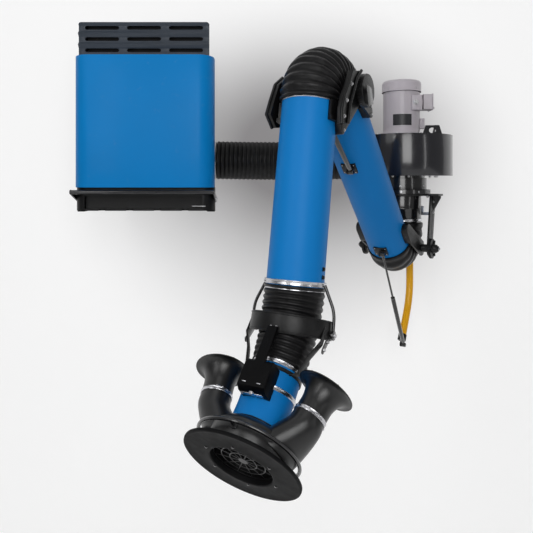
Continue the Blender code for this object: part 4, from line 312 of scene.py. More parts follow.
def eased(node, material, radius=0.0015, segments=2):
    """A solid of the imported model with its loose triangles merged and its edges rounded."""
    work = bmesh.new()
    work.from_mesh(frame["nodes"][node].data)
    bmesh.ops.remove_doubles(work, verts=work.verts, dist=0.00002)
    bmesh.ops.dissolve_limit(work, angle_limit=radians(0.6), verts=work.verts, edges=work.edges)
    mesh = bpy.data.meshes.new(node + "_eased")
    work.to_mesh(mesh)
    work.free()
    holder = bpy.data.objects.new(node + "_eased", mesh)
    bpy.context.collection.objects.link(holder)
    if radius:
        bevel = holder.modifiers.new("edge", "BEVEL")
        bevel.width = radius
        bevel.segments = segments
        bevel.limit_method = "ANGLE"
        bevel.angle_limit = radians(EASED_ABOVE)
        bevel.harden_normals = False
        bevel.use_clamp_overlap = True
    return in_scene(node + "_shown", settled(holder), body_of_node[node], material, node)


satin_black = powder_coat("satin_black_coat", tint(22, 22, 24), 0.36, 0.30)
eased("filter_cabinet", satin_black)


# The wall rail is a bar of galvanised steel that the box hangs on, with a screw in each slot.
class Growth:
    """A tree of geometry nodes with named sizes, which makes what repeats on the extractor."""

    def __init__(self, name, **sizes):
        self.tree = bpy.data.node_groups.new(name, "GeometryNodeTree")
        self.tree.interface.new_socket("Geometry", in_out="INPUT", socket_type="NodeSocketGeometry")
        self.tree.interface.new_socket("Geometry", in_out="OUTPUT",
                socket_type="NodeSocketGeometry")
        for key, value in sizes.items():
            kind = "NodeSocketInt" if isinstance(value, int) else "NodeSocketFloat"
            self.tree.interface.new_socket(key, in_out="INPUT",
                    socket_type=kind).default_value = value
        self.tree.interface.new_socket("Finish", in_out="INPUT", socket_type="NodeSocketMaterial")
        self.start = self.tree.nodes.new("NodeGroupInput")
        self.end = self.tree.nodes.new("NodeGroupOutput")

    def size(self, name):
        return Value(self.tree, self.start.outputs[name])

    node = Finish.node

    def close(self, geometry):
        real = self.node("GeometryNodeRealizeInstances", None, {0: geometry})
        coated = self.node("GeometryNodeSetMaterial", None, {"Geometry": real,
                           "Material": self.size("Finish")})
        self.tree.links.new(coated.socket, self.end.inputs[0])


def grown(name, data, growth, material, **sizes):
    """The plain mesh that a tree makes from some points or a line."""
    holder = bpy.data.objects.new(name, data)
    bpy.context.collection.objects.link(holder)
    change = holder.modifiers.new("growth", "NODES")
    change.node_group = growth.tree
    sizes["Finish"] = material
    for item in growth.tree.interface.items_tree:
        if item.in_out == "INPUT" and item.name in sizes:
            change[item.identifier] = sizes[item.name]
    return settled(holder)


def bolt_growth():
    """A domed hexagon head on a washer at every point, facing along the point's own direction."""
    grow = Growth("bolt_heads", Width=0.010, Height=0.005, Sides=6, Washer=1.35)
    width, height = grow.size("Width"), grow.size("Height")
    washer = grow.node("GeometryNodeMeshCylinder", None, {"Vertices": 20,
                       "Radius": width * 0.5 * grow.size("Washer"), "Depth": height * 0.4})
    head = grow.node("GeometryNodeMeshCylinder", None, {"Vertices": grow.size("Sides"),
                     "Radius": width * 0.5, "Depth": height})
    crown = grow.node("GeometryNodeMeshCone", None, {"Vertices": grow.size("Sides"),
                      "Radius Bottom": width * 0.5, "Radius Top": width * 0.36,
                      "Depth": height * 0.25})
    lift = [grow.node("ShaderNodeCombineXYZ", None, {"Z": height * share})
            for share in (0.2, 0.6, 1.1)]
    parts = [grow.node("GeometryNodeTransform", None, {"Geometry": part, "Translation": up})
             for part, up in zip((washer, head, crown), lift)]
    joined = grow.node("GeometryNodeJoinGeometry")
    for part in parts:
        grow.tree.links.new(part.socket, joined.socket.node.inputs[0])
    facing = grow.node("GeometryNodeInputNamedAttribute", {"data_type": "FLOAT_VECTOR"},
                       {"Name": "facing"})
    turn = grow.node("FunctionNodeAlignRotationToVector", {"axis": "Z"}, {"Vector": facing})
    grow.close(grow.node("GeometryNodeInstanceOnPoints", None,
               {"Points": Value(grow.tree, grow.start.outputs[0]), "Instance": joined,
               "Rotation": turn}))
    return grow


bolt_heads = bolt_growth()


def bolts(name, body, places, material, width=0.010, height=0.005, sides=6, washer=1.35):
    """Bolt heads at places given as (point, direction that the head faces)."""
    mesh = bpy.data.meshes.new(name)
    mesh.from_pydata([tuple(point) for point, facing in places], [], [])
    facing = mesh.attributes.new("facing", "FLOAT_VECTOR", "POINT")
    facing.data.foreach_set("vector", [c for point, direction in places for c in direction])
    made = grown(name, mesh, bolt_heads, material, Width=width, Height=height, Sides=sides,
                 Washer=washer)
    return in_scene(name, made, body, material, smooth=30)


def bare_steel(name, colour, rough=0.30, lines=(400, 400, 30)):
    """Bare metal: bright, a little cloudy, with fine drawing lines."""
    made = Finish(name, Metallic=1.0)
    drawn = made.noise(1.0, 3, 0.6, made.stretched(lines))
    cloudy = made.noise(18, 3)
    dull = tuple(c * 0.72 for c in colour[:3]) + (1,)
    made.set(Base_Color=made.blend(made.ramp(cloudy, 0.35, 0.7), colour, dull),
             Roughness=drawn * 0.18 + (rough - 0.06), Normal=made.bump(drawn, 0.12, 0.0003))
    return made.material


zinc = bare_steel("zinc_plate", tint(196, 196, 198), 0.34)
eased("filter_wall_rail", zinc, 0.001)


# The front cover is one steel sheet, bent round two large corners and powder coated blue. It is
# closed at its top and bottom and laps over the cabinet. Its face is left bare of any mark.
blue_coat = powder_coat("blue_powder_coat", tint(1, 121, 190), 0.42, 0.20, 0.03, 0.02, 0.12)
eased("front_cover", blue_coat, 0.0018, 3)


# The discharge grille is a dark blue-grey sheet hood with slots in three columns. Its front is
# stepped like clapboards, so each slot looks down. A black sheet behind the slots is painted shade
# for the dark inside the grille.
SIDES = ((1, "right"), (-1, "left"))
Z_TO_X = Matrix(((0, 0, 1, 0), (1, 0, 0, 0), (0, 1, 0, 0), (0, 0, 0, 1)))


def stand(origin, along, aside):
    """A frame with its X axis along one direction and its Y axis toward another."""
    x, y = Vector(along).normalized(), Vector(aside).normalized()
    return Matrix.Translation(origin) @ Matrix((x, y, x.cross(y))).transposed().to_4x4()


def ahead(stance, along):
    """The same frame moved along its own X axis."""
    return stance @ Matrix.Translation((along, 0, 0))


def united(*meshes):
    """Several meshes gathered in one, with every face turned outward."""
    work = bmesh.new()
    for mesh in meshes:
        work.from_mesh(mesh)
        bpy.data.meshes.remove(mesh)
    bmesh.ops.recalc_face_normals(work, faces=work.faces)
    mesh = bpy.data.meshes.new("united")
    work.to_mesh(mesh)
    work.free()
    return mesh


def extruded(outline, low, high, stance, edge=0.0, segments=2):
    """An outline in X and Y, drawn up along Z and stood in a frame, with its edges rounded."""
    work = bmesh.new()
    face = work.faces.new([work.verts.new((x, y, low)) for x, y in outline])
    made = bmesh.ops.extrude_face_region(work, geom=[face])["geom"]
    bmesh.ops.translate(work, vec=(0, 0, high - low), verts=[v
                        for v in made if isinstance(v, bmesh.types.BMVert)])
    bmesh.ops.recalc_face_normals(work, faces=work.faces)
    if edge:
        sharp = [e for e in work.edges if e.calc_face_angle(0) > radians(30)]
        bmesh.ops.bevel(work, geom=sharp, offset=edge, segments=segments, affect="EDGES",
                        profile=0.5)
    mesh = bpy.data.meshes.new("extruded")
    work.to_mesh(mesh)
    work.free()
    mesh.transform(stance)
    return mesh


def boxed(stance, x, y, z, edge=0.0):
    """A box between three pairs of values, in a frame."""
    outline = [(x[0], y[0]), (x[1], y[0]), (x[1], y[1]), (x[0], y[1])]
    return extruded(outline, z[0], z[1], stance, edge)


def lathed(profile, stance, sides=96, closed=True):
    """A round of (place along X, radius) points in a frame. A closed profile makes a ring."""
    verts, rows, faces = [], [], []
    for x, radius in profile:
        if radius:
            rows.append(list(range(len(verts), len(verts) + sides)))
            turns = [2 * pi * k / sides for k in range(sides)]
            verts += [stance @ Vector((x, radius * cos(a), radius * sin(a))) for a in turns]
        else:
            rows.append([len(verts)] * sides)
            verts.append(stance @ Vector((x, 0, 0)))
    for low, high in list(zip(rows, rows[1:])) + ([(rows[-1], rows[0])] if closed else []):
        for k in range(sides):
            after = (k + 1) % sides
            face = list(dict.fromkeys((low[k], low[after], high[after], high[k])))
            if len(face) > 2:
                faces.append(face)
    mesh = bpy.data.meshes.new("lathed")
    mesh.from_pydata(verts, [], faces)
    return united(mesh)


def rod(stance, start, end, radius, sides=32, edge=0.0006):
    """A solid round bar along X with eased ends."""
    return lathed([(start, 0), (start, radius - edge), (start + edge, radius), (end - edge, radius),
                  (end, radius - edge), (end, 0)], stance, sides, False)


def bent_bar(points, radius, sides=8, stance=Matrix()):
    """A round bar along a line of points. Its sides are counted over a quarter of its round."""
    curve = bpy.data.curves.new("bar", "CURVE")
    curve.dimensions = "3D"
    curve.bevel_depth = radius
    curve.bevel_resolution = sides
    curve.use_fill_caps = True
    line = curve.splines.new("POLY")
    line.points.add(len(points) - 1)
    for spot, place in zip(line.points, points):
        spot.co = (*(stance @ Vector(place)), 1)
    holder = bpy.data.objects.new("bar", curve)
    bpy.context.collection.objects.link(holder)
    return settled(holder)


BOX_AT = Vector((-1.308, 0, 0))
ROOMWARD = stand(BOX_AT, (1, 0, 0), (0, 0, 1))

louver_coat = powder_coat("louver_coat", tint(50, 57, 66), 0.42, 0.30)
eased("louver_grille", louver_coat, 0.0010)
# A flat black used as painted shade: behind the grille's slots and in the gap under the motor's
# cowl.
painted_shade_black = powder_coat("painted_shade_sheet", tint(14, 14, 15), 0.7)
in_scene("grille_painted_shade", boxed(ROOMWARD, (-0.285, 0.285), (0.605, 0.755), (0.520, 0.530)),
         "wall_unit", painted_shade_black)
slats = [boxed(ROOMWARD, (c * 0.204 - 0.080, c * 0.204 + 0.080),
         (0.7275 - r * 0.0545, 0.7295 - r * 0.0545), (0.532, 0.560)) for c in (-1, 0, 1)
         for r in range(3)]
in_scene("grille_slats", united(*slats), "wall_unit", louver_coat)


# The filter cartridge is pleated paper between two end caps, soiled a little by fume. It stands
# on the cabinet's floor behind the cover.
def filter_paper(name):
    made = Finish(name, Roughness=0.9)
    fibre = made.noise(300, 3, 0.7)
    soot = made.ramp(made.noise(9, 4, 0.6), 0.35, 0.75)
    made.set(Base_Color=made.blend(soot * 0.5, tint(226, 221, 205), tint(150, 146, 136)),
             Normal=made.bump(fibre, 0.4, 0.0006))
    return made.material


eased("filter_cartridge", filter_paper("filter_paper"), 0)


# The base is a tray moulded in black plastic under the cabinet. Its front has a hollow for the
# fingers with four dimples, and a small steel clip closes it at the right.
def moulded(name, colour, rough=0.5, grain=0.35, scale=900, shine=0.3):
    """Moulded or cast black: a fine leather-like grain, paler where hands rub it."""
    made = Finish(name, Specular_IOR_Level=shine)
    texture = made.node("ShaderNodeTexVoronoi", None, {"Vector": made.place, "Scale": scale},
                        "Distance")
    rubbed = made.ramp(made.noise(22, 5, 0.65), 0.55, 0.8)
    worn = tuple(min(c * 1.7 + 0.004, 1) for c in colour[:3]) + (1,)
    made.set(Base_Color=made.blend(rubbed * 0.5, colour, worn),
             Roughness=made.noise(40, 4) * 0.2 + (rough - 0.1),
             Normal=made.bump(texture, grain, 0.0004))
    return made.material


black_plastic = moulded("black_moulding", tint(11, 11, 12), 0.42, 0.25, 900, 0.2)
eased("cabinet_base", black_plastic, 0.003, 3)
in_scene("base_clip", boxed(ROOMWARD, (0.235, 0.300), (-0.1275, -0.1250), (0.5850, 0.5870), 0.0004),
         "wall_unit", zinc)


# The bail is a round bar on two flat arms. It turns on a pin in each cheek of the base and clamps
# the cover's lower edge. It is one welded part, painted a smoother black.
bail_paint = powder_coat("bail_paint", tint(24, 25, 29), 0.24, 0.12, 0.06, 0.3)
BAIL_PIN_AT, BAIL_BAR_AT = (-0.095, 0.500), (-0.058, 0.612)


def link(stance, line, low, high, edge):
    """A plate with round ends between two circles given as (x, y, radius)."""
    (ax, ay, ar), (bx, by, br) = line
    heading = Vector((bx - ax, by - ay)).normalized()
    left = Vector((-heading.y, heading.x))
    outline = []
    for (x, y, radius), start in (((ax, ay, ar), 0), ((bx, by, br), pi)):
        for k in range(13):
            angle = start + pi * k / 12
            step = left * (radius * cos(angle)) - heading * (radius * sin(angle))
            outline.append((x + step.x, y + step.y))
    return extruded(outline, low, high, stance, edge)


def bail_arm(side):
    """The flat arm between the pin and the bar at one end of the bail."""
    (pin_z, pin_out), (bar_z, bar_out) = BAIL_PIN_AT, BAIL_BAR_AT
    near = 0.3383 if side > 0 else -0.3453
    stance = Matrix(((0, 0, 1, BOX_AT.x), (-1, 0, 0, 0), (0, 1, 0, 0), (0, 0, 0, 1)))
    return link(stance, ((pin_out, pin_z, 0.016), (bar_out, bar_z, 0.011)), near, near + 0.007,
                0.0012)


bail_bar = stand(BOX_AT + Vector((0, -BAIL_BAR_AT[1], BAIL_BAR_AT[0])), (1, 0, 0), (0, 1, 0))
in_scene("bail_shown", united(rod(bail_bar, -0.345, 0.345, 0.010, 40, 0.002), bail_arm(1),
         bail_arm(-1)), "bail", bail_paint, "bail_handle")
bolts("bail_pins", "bail", [(BOX_AT + Vector((s * 0.3453, -0.500, -0.095)), (s, 0, 0))
      for s in (-1, 1)], zinc, 0.014, 0.004)


# The inlet collar of the box is a spun zinc-plated spigot, screwed to the cabinet's right side.
# The wall hose is pushed over it.
eased("filter_inlet_collar", zinc, 0.0008)
bolts("inlet_screws", "wall_unit", [((-1.041 + 0.005, -0.165 - 0.115 * sin(a),
      0.110 + 0.115 * cos(a)), (1, 0, 0)) for a in (0.5, 1.55, 2.6, 3.7, 4.75, 5.8)], zinc, 0.008,
      0.003)


# The wall bracket is a welded steel frame: a plate anchored to the wall through four corner
# holes, with two arms that carry the blower.
eased("wall_bracket", satin_black, 0.0015)


# The scroll is the blower's spiral housing, rolled and welded from sheet and painted in gloss
# black. A row of small bolts hangs below its floor, and lifting lugs stand on its lid. The right
# one is a wide plate with an eye, drawn here over the solid's own.
def gloss_black(name, colour, rough, cloudy=0.05):
    """Wet-sprayed gloss paint over sheet: nearly mirror smooth, with a slow ripple."""
    made = Finish(name, Coat_Weight=0.45, Coat_Roughness=0.08, Specular_IOR_Level=0.5)
    ripple = made.noise(7, 2)
    dust = made.ramp(made.noise(30, 5, 0.7), 0.56, 0.80) * cloudy
    made.set(Base_Color=made.blend(dust, colour, tint(96, 96, 98)),
             Roughness=made.noise(16, 3) * 0.08 + rough, Normal=made.bump(made.noise(420, 1), 0.10,
             0.0003, made.bump(ripple, 0.10, 0.004)))
    return made.material


drum_coat = gloss_black("drum_paint", tint(22, 22, 28), 0.16)
eased("scroll_housing", drum_coat, 0.0015)
BLOWER = Vector((0, -0.330, 0))


def around(count, start=0.0):
    """Angles of so many equal steps round a circle."""
    return [start + 2 * pi * k / count for k in range(count)]


def outward(radius, height, angles):
    """Places round the blower's axis that face away from it, as bolts() wants them."""
    ways = [Vector((cos(a), sin(a), 0)) for a in angles]
    return [(BLOWER + way * radius + Vector((0, 0, height)), way) for way in ways]


def about(centre, radius, height, angles, down=False):
    """Places on a circle round a vertical axis, as bolts() wants them."""
    facing = (0, 0, -1 if down else 1)
    return [(centre + Vector((radius * cos(a), radius * sin(a), height)), facing) for a in angles]


UPRIGHT = stand(BLOWER, (1, 0, 0), (0, 0, 1))
lug = []
for side in (-1, 1):
    eye = [(0.163 + side * 0.019 * sin(pi * k / 16), 0.262 + 0.015 * cos(pi * k / 16))
           for k in range(17)]
    sides = [(0.163, 0.2310), (0.163 + side * 0.050, 0.2310), (0.163 + side * 0.050, 0.245),
             (0.163 + side * 0.036, 0.2890), (0.163, 0.2890)]
    lug.append(extruded((sides + eye)[::side], -0.0058, 0.0058, UPRIGHT, 0.0))
in_scene("lifting_lug", united(*lug), "wall_unit", drum_coat)
bolts("scroll_bolts", "wall_unit", about(BLOWER, 0.150, 0.0215, around(12), True) + about(BLOWER,
      0.180, 0.0215, (-0.15, -0.35, -0.62), True), zinc, 0.010, 0.006)


# The motor plate closes the scroll's lid and carries the motor. It is sheet steel in the drum's
# own paint, held by eight bolts.
eased("motor_plate", drum_coat, 0.001)
bolts("plate_bolts", "wall_unit", about(BLOWER, 0.148, 0.2362, around(8, 0.39)), zinc, 0.009, 0.005)


# The motor's frame is a rolled steel shell in light grey enamel on a cast foot. Its data plate
# is left blank, and a terminal clip stands below the conduit box.
WRAP_STEPS = 14


def wrapped(stance, radius, turns, along, thick, edge=0.0):
    """A plate that lies round a frame's X axis, between two angles and two places along it."""
    outline = []
    for reach, order in ((radius, range(WRAP_STEPS + 1)), (radius + thick,
                         range(WRAP_STEPS, -1, -1))):
        for k in order:
            angle = turns[0] + (turns[1] - turns[0]) * k / WRAP_STEPS
            outline.append((reach * cos(angle), reach * sin(angle)))
    turned = stance @ Z_TO_X
    return extruded(outline, along[0], along[1], turned, edge)


motor_paint = powder_coat("motor_enamel", tint(178, 172, 178), 0.34, 0.30, 0.04, 0.10)
MOTOR_UP = stand(BLOWER, (0, 0, 1), (1, 0, 0))
MOTOR_FOOT = 0.2362
frame_profile = [(MOTOR_FOOT, 0.0130), (MOTOR_FOOT, 0.107), (MOTOR_FOOT + 0.001, 0.108),
                 (MOTOR_FOOT + 0.009, 0.108), (MOTOR_FOOT + 0.0105, 0.1065),
                 (MOTOR_FOOT + 0.0105, 0.0965), (0.2500, 0.0945), (0.2680, 0.0945),
                 (0.2688, 0.0938), (0.2705, 0.0938), (0.2713, 0.0945), (0.4520, 0.0945),
                 (0.4580, 0.0945), (0.4655, 0.0925), (0.4660, 0.0900), (0.4660, 0.0130)]
in_scene("motor_frame_shown", lathed(frame_profile, MOTOR_UP, 112), "wall_unit", motor_paint,
         "motor_frame")
plate_paint = powder_coat("data_plate", tint(38, 38, 42), 0.35, 0.1)
in_scene("motor_data_plate", wrapped(MOTOR_UP, 0.0946, (radians(-129.9), radians(-71.5)),
         (0.2814, 0.3387), 0.0008), "wall_unit", plate_paint)
in_scene("conduit_neck", boxed(UPRIGHT, (0.030, 0.084), (0.358, 0.437), (0.020, 0.098), 0.004),
         "wall_unit", motor_paint)
bolts("conduit_plug", "wall_unit", [(BLOWER + Vector((0.050, -0.098, 0.399)), (0, -1, 0))], zinc,
      0.020, 0.008)
in_scene("motor_clip", boxed(stand(BLOWER, (1, 0, 0), (0, 1, 0)), (0.086, 0.112), (-0.040, -0.010),
         (0.268, 0.322), 0.003), "wall_unit", motor_paint)


# The fan cowl is a pressed steel cap over the motor's cooling fan. A gap under its rim lets the air
# out along the frame, and a black ring of painted shade stands in it.
cowl_profile = [(0.4600, 0.0995), (0.4600, 0.1010), (0.4612, 0.1018), (0.4640, 0.1018),
                (0.4652, 0.1010), (0.5000, 0.1010), (0.5065, 0.1000), (0.5125, 0.0972),
                (0.5165, 0.0930), (0.5185, 0.0880), (0.5190, 0.0800), (0.5190, 0.0), (0.5175, 0.0),
                (0.5175, 0.0800), (0.5120, 0.0930), (0.5000, 0.0995)]
in_scene("motor_cowl_shown", lathed(cowl_profile, MOTOR_UP, 112), "wall_unit", motor_paint,
         "motor_cowl")
# A black ring painted as the shade in the gap under the cowl's rim.
in_scene("motor_gap_shade", lathed([(0.4590, 0.0946), (0.4590, 0.0994), (0.4612, 0.0994),
         (0.4612, 0.0946)], MOTOR_UP), "wall_unit", painted_shade_black)
bolts("cowl_screws", "wall_unit", outward(0.1008, 0.474, around(4, radians(-55))), zinc, 0.006,
      0.002)


# The conduit box is a pressed steel box on a short neck, in the motor's enamel. A blanking plug
# stands on its front corner, and two screws hold its lid at the right.
eased("conduit_box", motor_paint, 0.003, 3)
bolts("conduit_plug", "wall_unit", [((0.073, -0.3905, 0.414), (0.42, -0.90, 0))], zinc, 0.020,
      0.005, 12)
bolts("conduit_screws", "wall_unit", [((0.160, -0.366, 0.376), (1, 0, 0)),
      ((0.160, -0.294, 0.441), (1, 0, 0))], zinc, 0.007, 0.003)


# The shaft, the wheel and the small cooling fan turn together inside. The wheel is spun and
# riveted steel. The cooling fan is moulded black.
eased("motor_shaft", zinc, 0)
eased("impeller", zinc, 0)
eased("cooling_fan", black_plastic, 0)


# The arm hangs in one upright plane, turned 121.3 degrees from the wall's own line. Places in it
# are given as (distance out from the swivel, height).
SWIVEL_OUT = 0.330
DUCT_RADIUS = 0.1015
ARM_TURN = radians(-121.3)


def in_arm(out, height, aside=0.0):
    """A point of the arm's plane, or one that stands aside from it, in the frame of the scene."""
    return Vector((out * cos(ARM_TURN) - aside * sin(ARM_TURN),
                  out * sin(ARM_TURN) + aside * cos(ARM_TURN) - SWIVEL_OUT, height))


OUTWARD = in_arm(1, 0) - in_arm(0, 0)
ASIDE = in_arm(0, 0, 1) - in_arm(0, 0)
ARM_FRAME = stand(in_arm(0, 0), ASIDE, -OUTWARD)

# The inlet collar under the scroll is a fixed ring that the swivel hangs in. Like the duct below
# it, it is turned steel in a very glossy black, with a ring of small screws.
duct_black = gloss_black("duct_gloss", tint(22, 22, 24), 0.13, 0.10)
collar_profile = [(-0.0480, 0.1005), (-0.0480, 0.1280), (-0.0470, 0.1290), (-0.0440, 0.1290),
                  (-0.0425, 0.1275), (-0.0400, 0.1275), (-0.0385, 0.1290), (0.0090, 0.1290),
                  (0.0105, 0.1275), (0.0110, 0.1190), (0.0215, 0.1190), (0.0215, 0.1085),
                  (0.0102, 0.1085), (0.0102, 0.1005)]
UPWARD = stand(BLOWER, (0, 0, 1), ASIDE)
in_scene("inlet_collar_shown", lathed(collar_profile, UPWARD, 112), "wall_unit", duct_black,
         "inlet_collar")
bolts("collar_screws", "wall_unit", outward(0.1288, -0.030, around(6, 0.25)), zinc, 0.007, 0.003)


# The swivel duct is a spun steel spout that turns in the collar with the whole arm. Its flange
# is bolted to the cross plate, and a rolled bead stiffens the spout.
duct_profile = [(-0.2415, 0.0985), (-0.2415, 0.1010), (-0.2405, 0.1015), (-0.1520, 0.1015),
                (-0.1500, 0.1030), (-0.1470, 0.1036), (-0.1440, 0.1030), (-0.1420, 0.1015),
                (-0.0720, 0.1015), (-0.0712, 0.1030), (-0.0710, 0.1465), (-0.0700, 0.1480),
                (-0.0495, 0.1480), (-0.0485, 0.1465), (-0.0483, 0.1002), (0.0100, 0.1002),
                (0.0105, 0.1070), (0.0150, 0.1070), (0.0150, 0.0960), (-0.0650, 0.0960)]
in_scene("swivel_duct_shown", lathed(duct_profile, UPWARD, 112), "turntable", duct_black,
         "swivel_duct")
bolts("flange_bolts", "turntable", [(in_arm(0.1478 * cos(a), -0.060, 0.1478 * sin(a)),
      OUTWARD * cos(a) + ASIDE * sin(a)) for a in around(10, 0.3)], zinc, 0.008, 0.003)


# The duct clamp is a worm-drive band of zinc-plated steel. Its screw housing stands on the band,
# with the slotted screw across it.
def clamp(name, stance, radius, body, node, wide=0.014, thick=0.004, turn=0.0):
    """A worm-drive band at the start of a frame, with its screw turned round the axis."""
    profile = [(0.0, radius + 0.0006), (0.0, radius + thick * 0.7), (0.0012, radius + thick * 0.95),
               (wide * 0.30, radius + thick * 0.75), (wide * 0.70, radius + thick * 0.75),
               (wide - 0.0012, radius + thick * 0.95), (wide, radius + thick * 0.7),
               (wide, radius + 0.0006)]
    here = stance @ Matrix.Rotation(turn, 4, "X")
    house = boxed(here, (0.001, wide - 0.001), (-0.008, 0.008),
                  (radius + thick * 0.5, radius + thick * 2.4), 0.0012)
    screw = here @ Matrix.Translation((wide / 2, 0, radius + thick * 1.7)) @ Matrix.Rotation(pi / 2,
            4, "Z")
    parts = [lathed(profile, stance), house, rod(screw, -0.015, 0.015, 0.0032, 20, 0.0004),
             rod(screw, 0.0125, 0.0165, 0.0052, 6, 0.0004)]
    in_scene(name, united(*parts), body, bright_band, node)


bright_band = bare_steel("band_steel", tint(206, 206, 210), 0.24, (60, 60, 700))
clamp("duct_clamp_shown", stand(BLOWER + Vector((0, 0, -0.2140)), (0, 0, 1), ASIDE), DUCT_RADIUS,
      "turntable", "duct_clamp", turn=0.4)


# The swivel frame is a welded plate under the flange with a strap down each side, a curved gusset
# at each strap's head and a socket for the lever. It is painted black. A zinc angle ties the
# right strap to the duct.
cast_black = moulded("cast_black", tint(11, 11, 12), 0.38, 0.45, 700)
eased("swivel_frame", cast_black, 0.002)
in_scene("duct_angle", united(boxed(ARM_FRAME, (0.1030, 0.1595), (-0.0015, 0.0015),
         (-0.1810, -0.1660), 0.0006), boxed(ARM_FRAME, (0.1030, 0.1190), (-0.0015, 0.0015),
         (-0.1810, -0.1340), 0.0006)), "turntable", zinc)
bolts("frame_bolts", "turntable", [(in_arm(out, -0.0822, aside), (0, 0, -1))
      for out, aside in ((0.028, 0.146), (-0.028, 0.146), (0.028, -0.146), (-0.028, -0.146),
      (0.118, 0.0), (-0.100, 0.060))], zinc, 0.012, 0.006)
bolts("strap_bolts", "turntable", [(in_arm(out, height, side * 0.1682), ASIDE * side)
      for side in (-1, 1) for out, height in ((0.004, -0.112), (0.010, -0.165))], zinc, 0.011,
      0.005)


# The balance lever is one bent steel tube in yellow paint. It stands in the frame's socket and
# carries the foot of the shoulder spring.
lever_yellow = powder_coat("lever_yellow", tint(232, 168, 12), 0.32, 0.2, 0.05, 0.15)
lever_line = [(-0.145, -0.0905)]
for k in range(25):
    angle = pi + radians(34) * k / 24
    lever_line.append((0.155 + 0.300 * cos(angle), -0.545 + 0.300 * sin(angle)))
fall = (lever_line[-1][1] + 0.845) / cos(radians(34))
lever_line.append((lever_line[-1][0] + fall * sin(radians(34)), -0.845))
in_scene("balance_lever_shown", bent_bar([in_arm(*p) for p in lever_line], 0.0190, 10), "turntable",
         lever_yellow, "balance_lever")
eased("lever_cap", black_plastic, 0.001)


# Each shoulder knob is a ribbed friction disc under a moulded hand grip. Its pin passes through
# the strap into the arm's plate.
def ribbed_wheel(stance, radius, start, end, ribs=36, depth=0.0022):
    """A disc with a fluted rim."""
    outline = []
    for k in range(ribs * 6):
        angle = 2 * pi * k / (ribs * 6)
        reach = radius - depth * (0.5 - 0.5 * cos(ribs * angle)) ** 1.5
        outline.append((reach * cos(angle), reach * sin(angle)))
    turned = stance @ Z_TO_X
    return extruded(outline, start, end, turned)


SHOULDER_PIN = in_arm(0.060, -0.345)
rod_black = gloss_black("rod_black", tint(20, 20, 22), 0.22, 0.08)
knob_black = moulded("knob_black", tint(12, 12, 13), 0.38, 0.2, 500)
for side, name in SIDES:
    out = stand(SHOULDER_PIN, ASIDE * side, OUTWARD)
    parts = [ribbed_wheel(out, 0.0500, 0.1684, 0.1750), ribbed_wheel(out, 0.0500, 0.1752, 0.1804),
             rod(out, 0.1181, 0.1700, 0.0098, 32), lathed([(0.1804, 0), (0.1804, 0.0240),
             (0.1840, 0.0238), (0.1990, 0.0205), (0.2060, 0.0150), (0.2100, 0.0115), (0.2104, 0)],
             out, 64, False)]
    for k in range(3):
        parts.append(boxed(out @ Matrix.Rotation(2 * pi * k / 3, 4, "X"), (0.1806, 0.1880),
                     (0.018, 0.044), (-0.0045, 0.0045), 0.0015))
    in_scene("shoulder_knob_" + name + "_shown", united(*parts), "turntable", knob_black,
             "shoulder_knob_" + name)
    bolts("shoulder_nut_" + name, "turntable", [(SHOULDER_PIN + ASIDE * (side * 0.2102),
          ASIDE * side)], zinc, 0.013, 0.005)


# The inner tube is rolled steel, 203 mm wide, painted blue. Both of its ends are open, with the
# rim turned over. Its label's place is left bare.
INNER_RISE = radians(45.3)
OUTER_FALL = radians(-80)
SHOULDER_BEND, DUCT_END = 0.112, -0.242
INNER_LONG, ELBOW_BEND, OUTER_LONG = 0.956, 0.118, 0.690
INNER_LOW = (SHOULDER_BEND + SHOULDER_BEND * sin(INNER_RISE),
             DUCT_END - SHOULDER_BEND * cos(INNER_RISE))
INNER_TOP = (INNER_LOW[0] + INNER_LONG * cos(INNER_RISE), INNER_LOW[1]
             + INNER_LONG * sin(INNER_RISE))
ELBOW_CENTRE = (INNER_TOP[0] + ELBOW_BEND * sin(INNER_RISE),
                INNER_TOP[1] - ELBOW_BEND * cos(INNER_RISE))
OUTER_TOP = (ELBOW_CENTRE[0] + ELBOW_BEND * cos(OUTER_FALL + pi / 2),
             ELBOW_CENTRE[1] + ELBOW_BEND * sin(OUTER_FALL + pi / 2))
ELBOW_PIN = in_arm(0.8850, 0.3400)
INNER_UP = in_arm(cos(INNER_RISE), sin(INNER_RISE)) - in_arm(0, 0)
OUTER_DOWN = in_arm(cos(OUTER_FALL), sin(OUTER_FALL)) - in_arm(0, 0)
INNER_FRAME = stand(in_arm(*INNER_LOW), INNER_UP, ASIDE)
OUTER_FRAME = stand(in_arm(*OUTER_TOP), OUTER_DOWN, ASIDE)


def arm_tube(name, length, stance, body):
    """A rolled tube with a small turned rim at each end, and a black lining of painted shade inside
    it.
    """
    bore = DUCT_RADIUS - 0.0025
    near = [(0.0003, bore + 0.0004), (0.0003, DUCT_RADIUS - 0.0006), (0.0010, DUCT_RADIUS)]
    tube = near + [(length - x, r) for x, r in reversed(near)] + [(length - 0.0008, bore),
                   (0.0008, bore)]
    in_scene(name + "_shown", lathed(tube, stance, 128), body, tube_coat, name)
    lining = [(0.002, 0.0986), (0.002, 0.0989), (length - 0.002, 0.0989), (length - 0.002, 0.0986)]
    in_scene(name + "_painted_shade", lathed(lining, stance, 64), body, inside_shade_paint)


